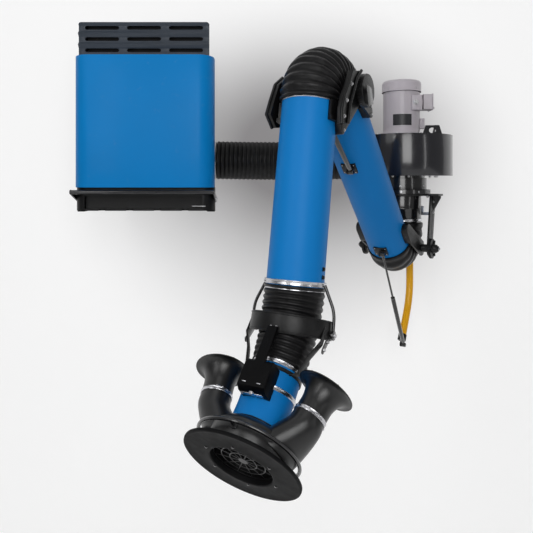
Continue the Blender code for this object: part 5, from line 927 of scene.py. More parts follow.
def tube_blue(name, colour):
    """Gloss powder coat over rolled tube. A black lining of painted shade shows inside, past the
    rim.
    """
    made = Finish(name, Specular_IOR_Level=0.14)
    patch = made.ramp(made.noise(2.2, 3), 0.3, 0.7)
    scuff = made.ramp(made.noise(34, 6, 0.7), 0.66, 0.80) * 0.10
    light = tuple(c * 1.05 for c in colour[:3]) + (1,)
    shown = made.blend(scuff, made.blend(patch, colour, light), tint(120, 150, 180))
    made.set(Base_Color=shown, Roughness=made.noise(12, 4, 0.6) * 0.12 + 0.40,
             Normal=made.bump(made.noise(520, 1), 0.16, 0.0004))
    return made.material


tube_coat = tube_blue("tube_coat", tint(6, 110, 178))
# A flat black lining inside the tubes, painted as the shade within them.
inside_shade_paint = powder_coat("duct_painted_shade", tint(12, 12, 13), 0.8, 0.1)
arm_tube("inner_tube", INNER_LONG, INNER_FRAME, "inner_arm")


# The shoulder plates are cast aluminium links in black. Each one is screwed to the foot of the
# inner tube and turns on its knob's pin.
def on_tube(stance, along, turn, radius=0.1020):
    """A place on a tube's surface and the way out from it. A turn of zero is at its right side."""
    out = Vector((0, cos(turn), sin(turn)))
    return stance @ Vector((along, *(out * radius)[1:])), (stance.to_3x3() @ out)


for side, name in SIDES:
    eased("shoulder_plate_" + name, cast_black, 0.003, 3)


# The elbow plates are cast links at the inner tube's top. Each ends in a round friction disc that
# is squeezed by one bolt.
ELBOW_OUT = {side: stand(ELBOW_PIN, ASIDE * side, OUTWARD) for side in (1, -1)}
for side, name in SIDES:
    eased("elbow_plate_" + name, cast_black, 0.003, 3)
    far = 0.1351
    wheel = [ribbed_wheel(ELBOW_OUT[side], 0.0640, far + 0.0018, far + 0.0110, 40, 0.0016),
             ribbed_wheel(ELBOW_OUT[side], 0.0610, far + 0.0112, far + 0.0202, 40, 0.0014)]
    in_scene("elbow_wheel_" + name, united(*wheel), "inner_arm", knob_black)
    bolts("elbow_bolt_" + name, "inner_arm", [(ELBOW_PIN + ASIDE * (side * (far + 0.0220)),
          ASIDE * side)], zinc, 0.018, 0.008, 6, 1.7)
    feet = [(INNER_FRAME @ Vector((along, side * 0.1335, up)), ASIDE * side)
            for along, up in ((0.862, -0.004), (0.838, -0.022))]
    bolts("elbow_foot_bolts_" + name, "inner_arm", feet, zinc, 0.010, 0.004)


# The forearm plates are the cast links of the outer tube. They turn on the elbow pins inside the
# elbow plates, and four screws hold each one.
for side, name in SIDES:
    eased("forearm_plate_" + name, cast_black, 0.0025, 3)
    feet = [(OUTER_FRAME @ Vector((along, side * 0.1246, up)), ASIDE * side)
            for along, up in ((0.070, -0.045), (0.112, -0.042), (-0.020, -0.060), (-0.060, -0.095))]
    bolts("forearm_foot_bolts_" + name, "outer_arm", feet, zinc, 0.009, 0.004)


# A cheek casting curves round each elbow disc, outside the forearm plate, with a raised rib along
# both of its edges. Its saddle sits on the tube below, and a clamping lever stands on the disc.
FLAT = stand(in_arm(0, 0), OUTWARD, (0, 0, 1))


OUTER_EDGE = {1: [(1.0161, 0.3953), (1.0482, 0.3410), (1.0838, 0.2973), (1.1055, 0.2495),
              (1.1098, 0.1971)], -1: [(1.0161, 0.3953), (1.0735, 0.3600), (1.1100, 0.2950),
              (1.1372, 0.2423), (1.0957, 0.1942)]}
INNER_EDGE = [(0.9250, 0.4100), (0.9680, 0.3740), (1.0020, 0.3188), (1.0345, 0.2716),
              (1.0527, 0.2003)]


def cheek(side):
    """The meshes of one cheek: its plate, a bead along both edges and the saddle."""
    def aside(outline, near, far, edge=0.0012):
        return extruded(outline, *sorted((-side * near, -side * far)), FLAT, edge)
    outer = OUTER_EDGE[side]
    parts = [aside((INNER_EDGE + outer[::-1])[::-1], 0.1256, 0.1400)]
    parts += [bent_bar([in_arm(*spot, side * 0.1440) for spot in edge], 0.0060, 8)
              for edge in (outer, INNER_EDGE)]
    turns = sorted((pi / 2 - side * radians(130), pi / 2 - side * radians(68)))
    spans = ((0.018, 0.078, 0.0110), (0.076, 0.092, 0.0160))
    return united(*parts, *(wrapped(OUTER_FRAME, 0.1018, turns, span[:2], span[2], 0.001)
                  for span in spans))


for side, name in SIDES:
    in_scene("elbow_cheek_" + name, cheek(side), "outer_arm", cast_black)
    spots = [(1.0790, 0.2250), (1.0560, 0.2830), (1.0120, 0.3480)]
    bolts("cheek_bolts_" + name, "outer_arm", [(in_arm(*spot, side * 0.1402), ASIDE * side)
          for spot in spots], zinc, 0.011, 0.005)
    lever = [(0.938, 0.355), (0.886, 0.347), (0.865, 0.289), (0.918, 0.276)]
    in_scene("elbow_lever_" + name, extruded(lever, *sorted((-side * 0.1660, -side * 0.1700)), FLAT,
             0.0010), "inner_arm", rod_black)


# Three curved pads under the tubes carry the springs' ends. Each is a pressed steel pad with a
# drilled tab, and four bright screws stand at its corners.
for node, stance, along, body in (("shoulder_strut_bracket", INNER_FRAME, 0.0712, "inner_arm"),
        ("elbow_strut_bracket", INNER_FRAME, 0.620, "inner_arm"),
        ("forearm_strut_bracket", OUTER_FRAME, 0.050, "outer_arm")):
    eased(node, cast_black, 0.0012)
    corners = [on_tube(stance, along + da * 0.020, -pi / 2 + dt * 0.245, 0.1056) for da in (-1, 1)
               for dt in (-1, 1)]
    bolts(node + "_screws", body, corners, zinc, 0.006, 0.0025, 12, 1.2)


# Each gas spring is a black cylinder and a black rod, with a ball-cup eye at both ends. The
# cylinder has a groove round its mouth.
spring_black = gloss_black("spring_black", tint(16, 16, 17), 0.16, 0.04)
SPRING_OFF = ASIDE * 0.0150
SPRING_DROP = 0.1225


def ball_cup(stance, bore=0):
    """The eye at a spring's end, bored for its pin or solid."""
    profile = [(-0.0103, bore), (-0.0103, 0.0095), (-0.0090, 0.0110), (0.0090, 0.0110),
               (0.0103, 0.0095), (0.0103, bore)]
    return lathed(profile, stance, 40, bool(bore))


def spring(name, foot, head, outer, inner, swing_body, slide_body, pin_hole):
    """A spring between two pins, drawn as its cylinder and its rod."""
    line = head - foot
    stance = stand(foot, line, ASIDE)
    long = line.length
    barrel = [(0.0060, 0), (0.0060, 0.0050), (0.0130, 0.0062), (0.0190, 0.0090), (0.0215, 0.0105)]
    barrel += [(outer - 0.010, 0.0105), (outer - 0.008, 0.0098), (outer - 0.006, 0.0098),
               (outer - 0.004, 0.0105)]
    barrel += [(outer - 0.0012, 0.0105), (outer, 0.0095), (outer, 0.0057), (inner, 0.0057),
               (inner, 0)]
    cup = ball_cup(stance @ Matrix.Rotation(pi / 2, 4, "Z"), 0.0052 if pin_hole else 0.0049)
    in_scene(name + "_cylinder_shown", united(lathed(barrel, stance, 48, False), cup), swing_body,
             spring_black, name + "_cylinder")
    cup = ball_cup(stand(head, line, ASIDE) @ Matrix.Rotation(pi / 2, 4, "Z"))
    neck = lathed([(long - 0.030, 0.0050), (long - 0.028, 0.0066), (long - 0.014, 0.0070),
                  (long - 0.008, 0.0060), (long - 0.008, 0), (long - 0.030, 0)], stance, 40, False)
    in_scene(name + "_rod_shown", united(rod(stance, inner + 0.004, long - 0.006, 0.0050, 40), neck,
             cup), slide_body, spring_black, name + "_rod")


def inner_place(along, drop):
    """A point so far along the inner tube and below its axis."""
    return in_arm(INNER_LOW[0] + along * cos(INNER_RISE) + drop * sin(INNER_RISE),
                  INNER_LOW[1] + along * sin(INNER_RISE) - drop * cos(INNER_RISE))


spring("shoulder_strut", in_arm(0.0095, -0.8657) + SPRING_OFF,
       inner_place(0.0712, SPRING_DROP) + SPRING_OFF, 0.330, 0.205, "shoulder_spring",
       "shoulder_spring_rod", True)
outer_head = OUTER_FRAME @ Vector((0.050, 0.0, 0.0)) + (OUTER_FRAME.to_3x3()
        @ Vector((0, 0, -1))) * SPRING_DROP
spring("elbow_strut", inner_place(0.620, SPRING_DROP) + SPRING_OFF, outer_head + SPRING_OFF, 0.250,
       0.066, "elbow_spring", "elbow_spring_rod", False)


# The outer tube is a shorter twin of the inner one. It hangs from the elbow and ends above the
# wrist, with two small bolts beside its lower edge.
arm_tube("outer_tube", OUTER_LONG, OUTER_FRAME, "outer_arm")
bolts("tube_bolts", "outer_arm", [on_tube(OUTER_FRAME, along, -0.04, 0.1017)
      for along in (0.610, 0.638)], cast_black, 0.012, 0.005, 16)

# The two clamps of the outer tube are the same worm-drive bands, one under the elbow hose and
# one over the wrist hose.
clamp("elbow_clamp_shown", ahead(OUTER_FRAME, 0.007), DUCT_RADIUS, "outer_arm", "elbow_clamp",
      turn=2.6)
clamp("wrist_clamp_shown", ahead(OUTER_FRAME, OUTER_LONG - 0.0154), DUCT_RADIUS, "outer_arm",
      "wrist_clamp", turn=-2.3)


# The wrist ring turns on the outer tube under its clamp. It is a flat steel ring with a bent rod
# welded to each side, and every rod ends in a drilled eye.
WRIST_DROP, WRIST_TURN, WRIST_PITCH = 0.135, radians(-4), radians(34.5)
WRIST = OUTER_FRAME @ Vector((OUTER_LONG + WRIST_DROP, 0, 0))
WRIST_SIDE = Matrix.Rotation(WRIST_TURN, 3, OUTER_DOWN) @ ASIDE
DOWN_HOOD = Matrix.Rotation(-WRIST_PITCH, 3, WRIST_SIDE) @ OUTER_DOWN
WRIST_FRAME = stand(WRIST, OUTER_DOWN, WRIST_SIDE)
GIMBAL = stand(WRIST, DOWN_HOOD, WRIST_SIDE)

in_scene("wrist_ring_band", lathed([(-0.1690, 0.1021), (-0.1690, 0.1075), (-0.1680, 0.1085),
         (-0.1650, 0.1085), (-0.1640, 0.1078), (-0.1580, 0.1078), (-0.1570, 0.1085),
         (-0.1540, 0.1085), (-0.1530, 0.1075), (-0.1530, 0.1021)], WRIST_FRAME, 112), "wrist",
         bright_band)
ring_parts = []
for side in (-1, 1):
    start, knee, end = (-0.1610, side * 0.1110), (-0.0750, side * 0.1520), (-0.0100, side * 0.1520)
    route = [start]
    for k in range(9):
        share = k / 8
        before = Vector(start).lerp(Vector(knee), 0.72 + 0.28 * share)
        after = Vector(knee).lerp(Vector(end), 0.45 * share)
        route.append(before.lerp(after, share))
    route.append(end)
    ring_parts.append(bent_bar([(x, y, 0) for x, y in route], 0.0055, 6, WRIST_FRAME))
    eye = WRIST_FRAME @ Matrix.Translation((0, side * 0.152, 0)) @ Matrix.Rotation(pi / 2, 4, "Z")
    ring_parts.append(lathed([(-0.0050, 0.0052), (-0.0050, 0.0150), (-0.0040, 0.0160),
                      (0.0040, 0.0160), (0.0050, 0.0150), (0.0050, 0.0052)], eye, 40))
in_scene("wrist_ring_shown", united(*ring_parts), "wrist", rod_black, "wrist_ring")
bolts("ring_screws", "wrist", [on_tube(WRIST_FRAME, -0.161, a, 0.1086) for a in around(6, 0.35)],
      zinc, 0.007, 0.0025)


# The yoke is a deep half band of sheet steel round the front of the wrist hose. It is pinned to
# the rods' eyes, and two side straps run from it to a collar on the blue tube.
YOKE_FRAME = (GIMBAL @ Matrix.Rotation(radians(26.5), 4, "Y") @ Z_TO_X)
outline = []
for radius, order in ((0.1400, range(57)), (0.1440, range(56, -1, -1))):
    for k in order:
        angle = radians(-8 + 196 * k / 56)
        outline.append((radius * cos(angle), radius * sin(angle)))
yoke_parts = [extruded(outline, -0.045, 0.018, YOKE_FRAME, 0.0012)]
for radius, edge in ((0.1446, -0.0410), (0.1446, 0.0125)):
    bead = [(radius * cos(radians(-4 + 188 * k / 56)), radius * sin(radians(-4 + 188 * k / 56)),
            edge) for k in range(57)]
    yoke_parts.append(bent_bar(bead, 0.0016, 3, YOKE_FRAME))
strap_line = ((-0.010, 0.1345), (0.052, 0.1345), (0.108, 0.1080), (0.167, 0.0910), (0.182, 0.0660))
for side in (-1, 1):
    line = [(x, side * y) for x, y in strap_line]
    back = [(x + 0.002, side * (y + 0.004)) for x, y in strap_line]
    yoke_parts.append(extruded((line + back[::-1])[::side], 0.026, 0.050, GIMBAL, 0.0008))
    pin = YOKE_FRAME @ Matrix.Translation((side * 0.142, 0, 0)) @ Matrix.Scale(side, 4, (1, 0, 0))
    yoke_parts += [rod(pin, -0.0040, 0.0022, 0.0160, 40), rod(pin, 0, 0.0150, 0.0044, 24)]
yoke_parts.append(lathed([(0.1700, 0.0854), (0.1700, 0.0880), (0.1710, 0.0890), (0.1810, 0.0890),
                  (0.1820, 0.0880), (0.1820, 0.0854)], GIMBAL, 96))
yoke_black = moulded("yoke_black", tint(8, 8, 9), 0.40, 0.10, 500)
in_scene("wrist_yoke_shown", united(*yoke_parts), "hood", yoke_black, "wrist_yoke")
pins = [(GIMBAL @ Vector((0, side * 0.1572, 0)), WRIST_SIDE * side) for side in (-1, 1)]
bolts("yoke_nuts", "hood", pins, zinc, 0.013, 0.005)


# A tilt plate stands outside each eye and follows the hood, with a strap and a screw at its low
# end. These are pressed steel, in the yoke's black.
for side, name in SIDES:
    flat = GIMBAL @ Matrix(((1, 0, 0, 0), (0, 0, side, 0), (0, 1, 0, 0), (0, 0, 0, 1)))
    in_scene("tilt_plate_" + name, link(flat, ((0.014, 0.004, 0.0125), (0.070, 0.020, 0.0105)),
             0.1400, 0.1430, 0.0008), "hood", rod_black)
    bolts("tilt_bolts_" + name, "hood", [(GIMBAL @ Vector((0.066, side * 0.1432, 0.019)),
          WRIST_SIDE * side), (GIMBAL @ Vector((0.030, side * 0.1432, 0.008)), WRIST_SIDE * side)],
          zinc, 0.011, 0.005)


# The hood's tube is rolled and bent steel in the arm's blue. It runs straight down from the
# wrist hose and turns a little into the nozzle.
NOZZLE_BEND = radians(7)
TURN_AT, TURN_RADIUS = 0.300, 0.180
NOZZLE_ZERO = 0.330
HOOD_RADIUS = 0.0850
NOZZLE = GIMBAL @ Matrix.Translation((TURN_AT - NOZZLE_ZERO * cos(NOZZLE_BEND), 0,
        -NOZZLE_ZERO * sin(NOZZLE_BEND)))
NOZZLE = NOZZLE @ Matrix.Rotation(-NOZZLE_BEND, 4, "Y")


def skin(rows, stance, sides=72):
    """A closed shell through ovals given as (centre, across, up, width, height)."""
    verts, faces = [], []
    for centre, across, up, wide, tall in rows:
        for k in range(sides):
            angle = 2 * pi * k / sides
            verts.append(stance @ (centre + across * (wide * cos(angle))
                         + up * (tall * sin(angle))))
    for row in range(len(rows)):
        low, high = row * sides, (row + 1) % len(rows) * sides
        faces += [(low + k, low + (k + 1) % sides, high + (k + 1) % sides, high + k)
                  for k in range(sides)]
    mesh = bpy.data.meshes.new("skin")
    mesh.from_pydata(verts, [], faces)
    return united(mesh)


BEND_STEPS = 14


def hood_rows(radius, start, end):
    """Ovals along the hood's bent axis. The end counts in the nozzle's frame."""
    back = TURN_RADIUS * tan(NOZZLE_BEND / 2)
    spots = [(start, 0.0, 0.0)] if start < TURN_AT - back else []
    for k in range(BEND_STEPS + 1):
        angle = NOZZLE_BEND * k / BEND_STEPS
        x = TURN_AT - back + TURN_RADIUS * sin(angle)
        if x > start:
            spots.append((x, TURN_RADIUS * (1 - cos(angle)), angle))
    far = end - NOZZLE_ZERO
    spots.append((TURN_AT + far * cos(NOZZLE_BEND), far * sin(NOZZLE_BEND), NOZZLE_BEND))
    return [(Vector((x, 0, z)), Vector((0, 1, 0)), Vector((-sin(a), 0, cos(a))), radius, radius)
            for x, z, a in spots]


hood_blue = tube_blue("hood_blue_coat", tint(8, 108, 176))
shell = hood_rows(HOOD_RADIUS, 0.1455, 0.4517)
in_scene("hood_tube_shown", skin(shell + hood_rows(0.0826, 0.1455, 0.4517)[::-1], GIMBAL, 96),
         "hood", hood_blue, "hood_tube")
# The hood tube's black lining is painted shade for its inside.
in_scene("hood_tube_painted_shade", skin(hood_rows(0.0825, 0.1445, 0.4518) + hood_rows(0.0821, 0.1445,
         0.4518)[::-1], GIMBAL), "hood", inside_shade_paint)


# The hood clamp is one more worm-drive band. It holds the wrist hose on the blue tube's end.
clamp("hood_clamp_shown", ahead(GIMBAL, 0.150), HOOD_RADIUS, "hood", "hood_clamp", turn=2.2)


# The hood band is a rolled V band round the middle of the blue tube. It is plated and bright.
in_scene("hood_band_shown", lathed([(0.2320, 0.0854), (0.2320, 0.0868), (0.2345, 0.0889),
         (0.2375, 0.0880), (0.2405, 0.0880), (0.2435, 0.0889), (0.2460, 0.0868), (0.2460, 0.0854)],
         GIMBAL, 96), "hood", bright_band, "hood_band")


# The control box of the two fans is a folded steel box saddled on the blue tube, hung from the
# yoke by a flat bar. Two slots, a bolt and a bare plate are all that shows on it.
box_black = moulded("box_black", tint(7, 7, 8), 0.48, 0.05, 500, 0.08)
eased("hood_motor_box", box_black, 0.003, 3)
slots = [boxed(GIMBAL, (0.262, 0.2645), (y - 0.007, y + 0.007), (0.1376, 0.1388), 0.0005)
         for y in (-0.026, 0.024)]
in_scene("box_slots", united(*slots), "hood", bright_band)
in_scene("box_plate", boxed(GIMBAL, (0.2845, 0.2870), (-0.040, 0.034), (0.094, 0.112), 0.0008),
         "hood", bright_band)
bolts("box_bolt", "hood", [(GIMBAL @ Vector((0.2870, 0.004, 0.124)), DOWN_HOOD)], zinc, 0.012,
      0.006)
bolts("hanger_bolts", "hood", [(YOKE_FRAME @ Vector((x, 0.1445, z)),
      YOKE_FRAME.to_3x3() @ Vector((0, 1, 0))) for x, z in ((-0.010, 0.004), (0.010, 0.004))], zinc,
      0.009, 0.004)


# The plenum is the moulded drum behind the disc. A duct swells out of each of its sides, from a
# round throat at the bell to a tall oval at the drum.
EAR_SPLAY = radians(13)
EAR_BACK, EAR_SIDE, EAR_UP = 0.2255, 0.185, 0.028
EAR_LONG, EAR_THROAT = 0.099, 0.050
PLENUM_FRONT = 0.476
DUCT_SPANS, SPAN_STEPS = 4, 8

# Each row of a side duct: shares along, apart and up, its turn, and its width and height in throats
DUCT_ROWS = ((0.20, 0.840, 0.9, 1.0, 1.06, 1.10), (0.42, 0.695, 0.5, 1.3, 1.16, 1.40),
             (0.63, 0.530, 0.1, 1.4, 1.24, 1.70), (0.79, 0.410, 0.0, 1.4, 1.28, 1.86))


def ear_at(side, distance):
    """The centre of an ear at a distance from its mouth, and its heading, in the nozzle's frame."""
    heading = Vector((cos(EAR_SPLAY), -side * sin(EAR_SPLAY), 0))
    return Vector((EAR_BACK, side * EAR_SIDE, EAR_UP)) + heading * distance, heading


def side_duct(side, inset):
    """Ovals from an ear's throat to the drum, drawn smoothly through the sections of DUCT_ROWS."""
    centre = ear_at(side, EAR_LONG)[0]
    spots = [(centre.x, centre.y, EAR_UP, EAR_SPLAY, EAR_THROAT, EAR_THROAT)]
    for along, apart, lift, turn, wide, tall in DUCT_ROWS:
        spots.append((centre.x + (PLENUM_FRONT - centre.x) * along, side * EAR_SIDE * apart,
                     EAR_UP * lift, EAR_SPLAY * turn, EAR_THROAT * wide, EAR_THROAT * tall))
    rows = []
    for k in range(DUCT_SPANS * SPAN_STEPS + 1):
        j = min(k // SPAN_STEPS, DUCT_SPANS - 1)
        share = k / SPAN_STEPS - j
        around_it = [spots[max(j - 1, 0)], spots[j], spots[j + 1], spots[min(j + 2, DUCT_SPANS)]]
        x, y, z, turn, wide, tall = [0.5 * (2 * b + (c - a) * share
                + (2 * a - 5 * b + 4 * c - d) * share ** 2 + (3 * b - a - 3 * c + d) * share ** 3)
                for a, b, c, d in zip(*around_it)]
        rows.append((Vector((x, y, z)), Vector((sin(turn), side * cos(turn), 0)), Vector((0, 0, 1)),
                    wide - inset, tall - inset))
    return rows


drum = [(0.3970, 0.0885), (0.3960, 0.0900), (0.3960, 0.1070), (0.3985, 0.1115), (0.4120, 0.1265),
        (0.4160, 0.1295), (0.4200, 0.1300), (0.4740, 0.1300), (0.4755, 0.1290), (0.4755, 0.1272),
        (0.4180, 0.1270), (0.3995, 0.1085), (0.3990, 0.0885)]
plenum = [lathed(drum, NOZZLE, 112)]
for side in (1, -1):
    outside = side_duct(side, 0.0)
    plenum.append(skin(outside + side_duct(side, 0.003)[::-1], NOZZLE))
plenum.append(lathed([(0.3830, 0.0856), (0.3830, 0.0872), (0.3842, 0.0884), (0.4510, 0.0884),
              (0.4526, 0.0878), (0.4526, 0.0824), (0.4519, 0.0824), (0.4519, 0.0856)], NOZZLE, 96))
hood_plastic = moulded("hood_moulding", tint(15, 15, 16), 0.34, 0.12, 900, 0.5)
in_scene("hood_plenum_shown", united(*plenum), "hood", hood_plastic, "hood_plenum", 50)


# The flange disc is a wide moulded plate round the mouth, nearly flat, with a rolled rim that
# catches the light. It is screwed to the drum.
disc_profile = [(0.4763, 0.0990), (0.4763, 0.1266), (0.4803, 0.1266), (0.4803, 0.1030),
                (0.4940, 0.1030), (0.4945, 0.1730), (0.4935, 0.1785), (0.4905, 0.1820),
                (0.4898, 0.1850), (0.4915, 0.1868), (0.4950, 0.1872), (0.4985, 0.1862),
                (0.5000, 0.1830), (0.4990, 0.1775), (0.4980, 0.1720), (0.4982, 0.1300),
                (0.4990, 0.1120), (0.5000, 0.1050), (0.4998, 0.1020), (0.4980, 0.0998),
                (0.4940, 0.0990)]
disc_plastic = moulded("disc_moulding", tint(13, 13, 14), 0.52, 0.04, 900, 0.06)
in_scene("flange_disc_shown", lathed(disc_profile, NOZZLE, 160), "hood", disc_plastic,
         "flange_disc")
NOZZLE_TURN = NOZZLE.to_3x3()
bolts("disc_screws", "hood", [(NOZZLE @ Vector((0.4982, 0.116 * cos(a), 0.116 * sin(a))),
      NOZZLE_TURN @ Vector((1, 0, 0))) for a in around(6, 0.4)], rod_black, 0.007, 0.002, 16)


# The guard in the mouth is a moulded grille: a hub, three rings and twelve thin spokes in one
# piece, pressed into the disc's lip.
guard = [lathed([(0.4782, r - 0.0014), (0.4782, r + 0.0014), (0.4816, r + 0.0014),
         (0.4816, r - 0.0014)], NOZZLE, 96) for r in (0.0970, 0.0700, 0.0430)]
guard.append(lathed([(0.4782, 0), (0.4782, 0.0150), (0.4800, 0.0160), (0.4820, 0.0145),
             (0.4828, 0)], NOZZLE, 48, False))
for k in range(12):
    guard.append(boxed(NOZZLE @ Matrix.Rotation(2 * pi * k / 12, 4, "X"), (0.4784, 0.4812),
                 (-0.0012, 0.0012), (0.0150, 0.0972), 0.0004))
in_scene("hood_guard_shown", united(*guard), "hood", hood_plastic, "hood_guard")


# The handle is a round grab ring behind the disc. It is bent from steel bar, painted black, and
# stands on three short legs with a foot on the drum.
grab = [(0.446 + 0.006 * cos(2 * pi * k / 16), 0.163 + 0.006 * sin(2 * pi * k / 16))
        for k in range(16)]
grip = [lathed(grab, NOZZLE, 144)]
for angle in (0, radians(152), radians(208)):
    leg = ahead(NOZZLE @ Matrix.Rotation(angle, 4, "X"), 0.446) @ Matrix.Rotation(-pi / 2, 4, "Y")
    grip += [rod(leg, 0.1304, 0.1620, 0.0048, 24), rod(leg, 0.1301, 0.1345, 0.0095, 24)]
in_scene("handle_ring_shown", united(*grip), "hood", rod_black, "handle_ring")


# Each ear bell is a moulded trumpet with a flat screwed rim, a straight throat and a three-legged
# spider for its fan. A bright band clamps it to the plenum's duct.
FAN_AT = 0.062
for side, name in SIDES:
    mouth, heading = ear_at(side, 0)
    ear = stand(NOZZLE @ mouth, NOZZLE_TURN @ heading, NOZZLE_TURN @ Vector((0, 0, 1)))
    flare = [(0.0614 * (1 - cos(pi / 2 * k / 24)), 0.050 + 0.034 * (1 - sin(pi / 2 * k / 24)))
             for k in range(25)]
    bell = [(0.0, 0.0915), (0.0010, 0.0920), (0.0026, 0.0920), (0.0034, 0.0912), (0.0034, 0.0868)]
    bell += [(x + 0.0034, r) for x, r in flare] + [(0.0980, 0.0500), (0.0987, 0.0494),
             (0.0987, 0.0477)]
    bell += [(x, r - 0.0025) for x, r in reversed(flare)] + [(0.0, 0.0850)]
    parts = [lathed(bell, ear, 112), rod(ear, FAN_AT - 0.024, FAN_AT, 0.016, 40)]
    for k in range(3):
        parts.append(boxed(ear @ Matrix.Rotation(2 * pi * k / 3 + pi / 6, 4, "X"),
                     (FAN_AT - 0.010, FAN_AT), (-0.0015, 0.0015), (0.0140, 0.0485)))
    in_scene("ear_bell_" + name + "_shown", united(*parts), "hood", hood_plastic,
             "ear_bell_" + name)
    ear_turn = ear.to_3x3()
    rim = [(ear @ Vector((0.0002, 0.0885 * cos(a), 0.0885 * sin(a))), ear_turn @ Vector((-1, 0, 0)))
           for a in around(6, 0.3)]
    bolts("bell_screws_" + name, "hood", rim, zinc, 0.0055, 0.0018, 12, 1.2)
    clamp("bell_band_" + name, ahead(ear, 0.0890), EAR_THROAT, "hood", (), 0.012, 0.0032,
          2.0 * side)


# The two ear fans are small moulded wheels that push the air curtain out of the bells.
for name in ("right", "left"):
    eased("ear_fan_" + name, cast_black, 0)


# The four hoses are black rubberised fabric over a spring-steel spiral. Each one is a line whose
# radius swells at every turn of the wire, and the fabric between the turns sinks and crumples.
def hose_rubber(name):
    made = Finish(name, Specular_IOR_Level=0.2)
    crest = made.node("ShaderNodeAttribute", {"attribute_name": "crest"}, None, "Fac")
    cloth = made.noise(240, 4, 0.7)
    folds = made.noise(34, 3, 0.6)
    # Besides the dust, this mix makes every rib's crest paler, through the crest mask.
    dust = made.ramp(made.noise(26, 5, 0.7), 0.45, 0.8) * 0.5 + made.ramp(crest, 0.7, 1.0) * 0.25
    made.set(Base_Color=made.blend(dust, tint(9, 9, 10), tint(36, 35, 36)),
             Roughness=0.46 - made.ramp(crest, 0.5, 1.0) * 0.20 + made.noise(60, 3) * 0.12,
             Normal=made.bump(cloth, 0.35, 0.0006, made.bump(folds, 0.45, 0.003)))
    return made.material


def hose_growth():
    grow = Growth("spiral_hose", Radius=0.105, Rib=0.004, Pitch=0.024, Sides=72, Crumple=0.0,
                  Seed=0.0)
    pitch = grow.size("Pitch")
    line = grow.node("GeometryNodeResampleCurve", {"mode": "LENGTH"},
                     {"Curve": Value(grow.tree, grow.start.outputs[0]), "Length": pitch / 9.0})
    along = grow.node("GeometryNodeSplineParameter", output="Length")
    turn = along / pitch * (2 * pi)
    wave = grow.node("ShaderNodeMath", {"operation": "SINE"}, {0: turn}) * 0.5 + 0.5
    crest = wave ** 0.7
    marked = grow.node("GeometryNodeStoreNamedAttribute", {"data_type": "FLOAT", "domain": "POINT"},
                       {"Geometry": line, "Name": "crest", "Value": crest})
    own = grow.node("GeometryNodeInputRadius")
    wide = own * (grow.size("Radius") + grow.size("Rib") * crest)
    ring = grow.node("GeometryNodeCurvePrimitiveCircle", {"mode": "RADIUS"},
                     {"Resolution": grow.size("Sides"), "Radius": 1.0})
    skin = grow.node("GeometryNodeCurveToMesh", None, {"Curve": marked, "Profile Curve": ring,
                     "Scale": wide, "Fill Caps": True})
    place = grow.node("GeometryNodeInputPosition")
    moved = grow.node("ShaderNodeCombineXYZ", None, {0: grow.size("Seed"), 1: grow.size("Seed")})
    place = grow.node("ShaderNodeVectorMath", {"operation": "ADD"}, {0: place, 1: moved})
    broad = grow.node("ShaderNodeTexNoise", None, {"Vector": place, "Scale": 17.0,
                      "Detail": 2.0}) - 0.5
    fine = grow.node("ShaderNodeTexNoise", None, {"Vector": place, "Scale": 55.0,
                     "Detail": 2.0}) - 0.5
    held = grow.node("GeometryNodeInputNamedAttribute", {"data_type": "FLOAT"}, {"Name": "crest"})
    loose = grow.size("Crumple") * (broad * 1.3 + fine * 0.8 * (1.2 - held))
    outward = grow.node("GeometryNodeInputNormal")
    push = grow.node("ShaderNodeVectorMath", {"operation": "SCALE"}, {0: outward, "Scale": loose})
    grow.close(grow.node("GeometryNodeSetPosition", None, {"Geometry": skin, "Offset": push}))
    return grow


spiral_hose = hose_growth()
hose_black = hose_rubber("hose_fabric")


def hose(name, route, radii, node, body, pitch, rib, crumple=0.0, seed=0.0, radius=0.1035):
    """A ribbed hose along a route. Radii gives its width at each point, in shares of the radius."""
    curve = bpy.data.curves.new(name, "CURVE")
    curve.dimensions = "3D"
    curve.twist_mode = "MINIMUM"
    line = curve.splines.new("POLY")
    line.points.add(len(route) - 1)
    for point, place, width in zip(line.points, route, radii):
        point.co = (*place, 1)
        point.radius = width
    mesh = grown(name, curve, spiral_hose, hose_black, Radius=radius, Rib=rib, Pitch=pitch,
                 Crumple=crumple, Seed=seed)
    work = bmesh.new()
    work.from_mesh(mesh)
    bmesh.ops.remove_doubles(work, verts=work.verts, dist=0.00005)
    bmesh.ops.recalc_face_normals(work, faces=work.faces)
    work.to_mesh(mesh)
    work.free()
    return in_scene(name, mesh, body, hose_black, node, 60)


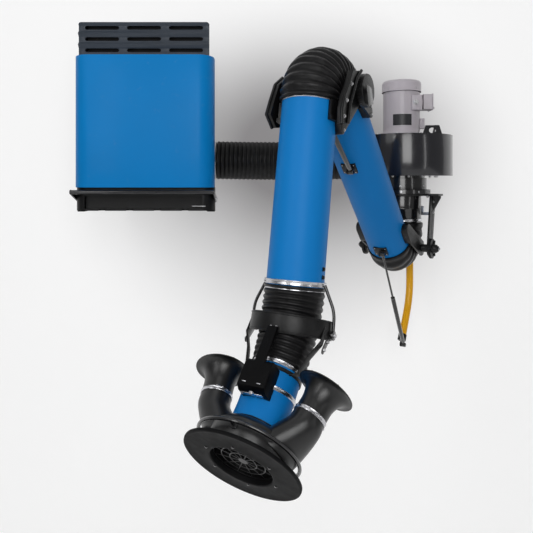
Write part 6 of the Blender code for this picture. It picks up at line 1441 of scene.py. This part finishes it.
def swept(centre, radius, start, end, steps, lead=0.0, tail=0.0):
    """Points along a bend in the arm's plane, with a straight lead in and out of it."""
    sense = 1 if end > start else -1
    points = []
    for k in range(steps + 1):
        angle = start + (end - start) * k / steps
        points.append((centre[0] + radius * cos(angle), centre[1] + radius * sin(angle)))
    first = (-sense * -sin(start), -sense * cos(start))
    last = (sense * -sin(end), sense * cos(end))
    before = [(points[0][0] + first[0] * lead, points[0][1] + first[1] * lead)] if lead else []
    after = [(points[-1][0] + last[0] * tail, points[-1][1] + last[1] * tail)] if tail else []
    return before + points + after


wall_route = [(-0.985 + 0.72 * k / 24, -0.165, 0.110 - 0.004 * sin(pi * k / 24)) for k in range(25)]
hose("wall_hose_fabric", wall_route, [1] * 25, "wall_hose", "wall_unit", 0.0235, 0.0045, 0.0006,
     1.0, DUCT_RADIUS)

shoulder_line = swept((SHOULDER_BEND, DUCT_END), SHOULDER_BEND, pi, 1.5 * pi + INNER_RISE, 40,
                      0.018, 0.018)
shoulder_route = [in_arm(*p) for p in shoulder_line]
hose("shoulder_hose_fabric", shoulder_route, [1] * len(shoulder_route), "shoulder_hose",
     ("turntable", "inner_arm", shoulder_route[1], shoulder_route[-2]), 0.040, 0.006, 0.005, 3.0)

elbow_line = swept(ELBOW_CENTRE, ELBOW_BEND, INNER_RISE + pi / 2, OUTER_FALL + pi / 2, 40, 0.018,
                   0.018)
elbow_route = [in_arm(*p) for p in elbow_line]
hose("elbow_hose_fabric", elbow_route, [1] * len(elbow_route), "elbow_hose",
     ("inner_arm", "outer_arm", elbow_route[1], elbow_route[-2]), 0.0215, 0.0085, 0.006, 7.0,
     0.1045)

# The wrist hose comes down from the outer tube, bends once at the wrist's pivot and narrows on to
# the hood's own tube.
wrist_route, wrist_radii = [], []
for k in range(49):
    share = k / 48
    a = WRIST - OUTER_DOWN * 0.150
    c = WRIST + DOWN_HOOD * 0.158
    point = a.lerp(WRIST, share).lerp(WRIST.lerp(c, share), share)
    wrist_route.append(point)
    wrist_radii.append(1.0 - 0.17 * share ** 1.5)
hose("wrist_hose_fabric", wrist_route, wrist_radii, "wrist_hose",
     ("wrist", "hood", WRIST - OUTER_DOWN * 0.05, wrist_route[-6]), 0.0215, 0.0055, 0.004, 12.0,
     0.1030)
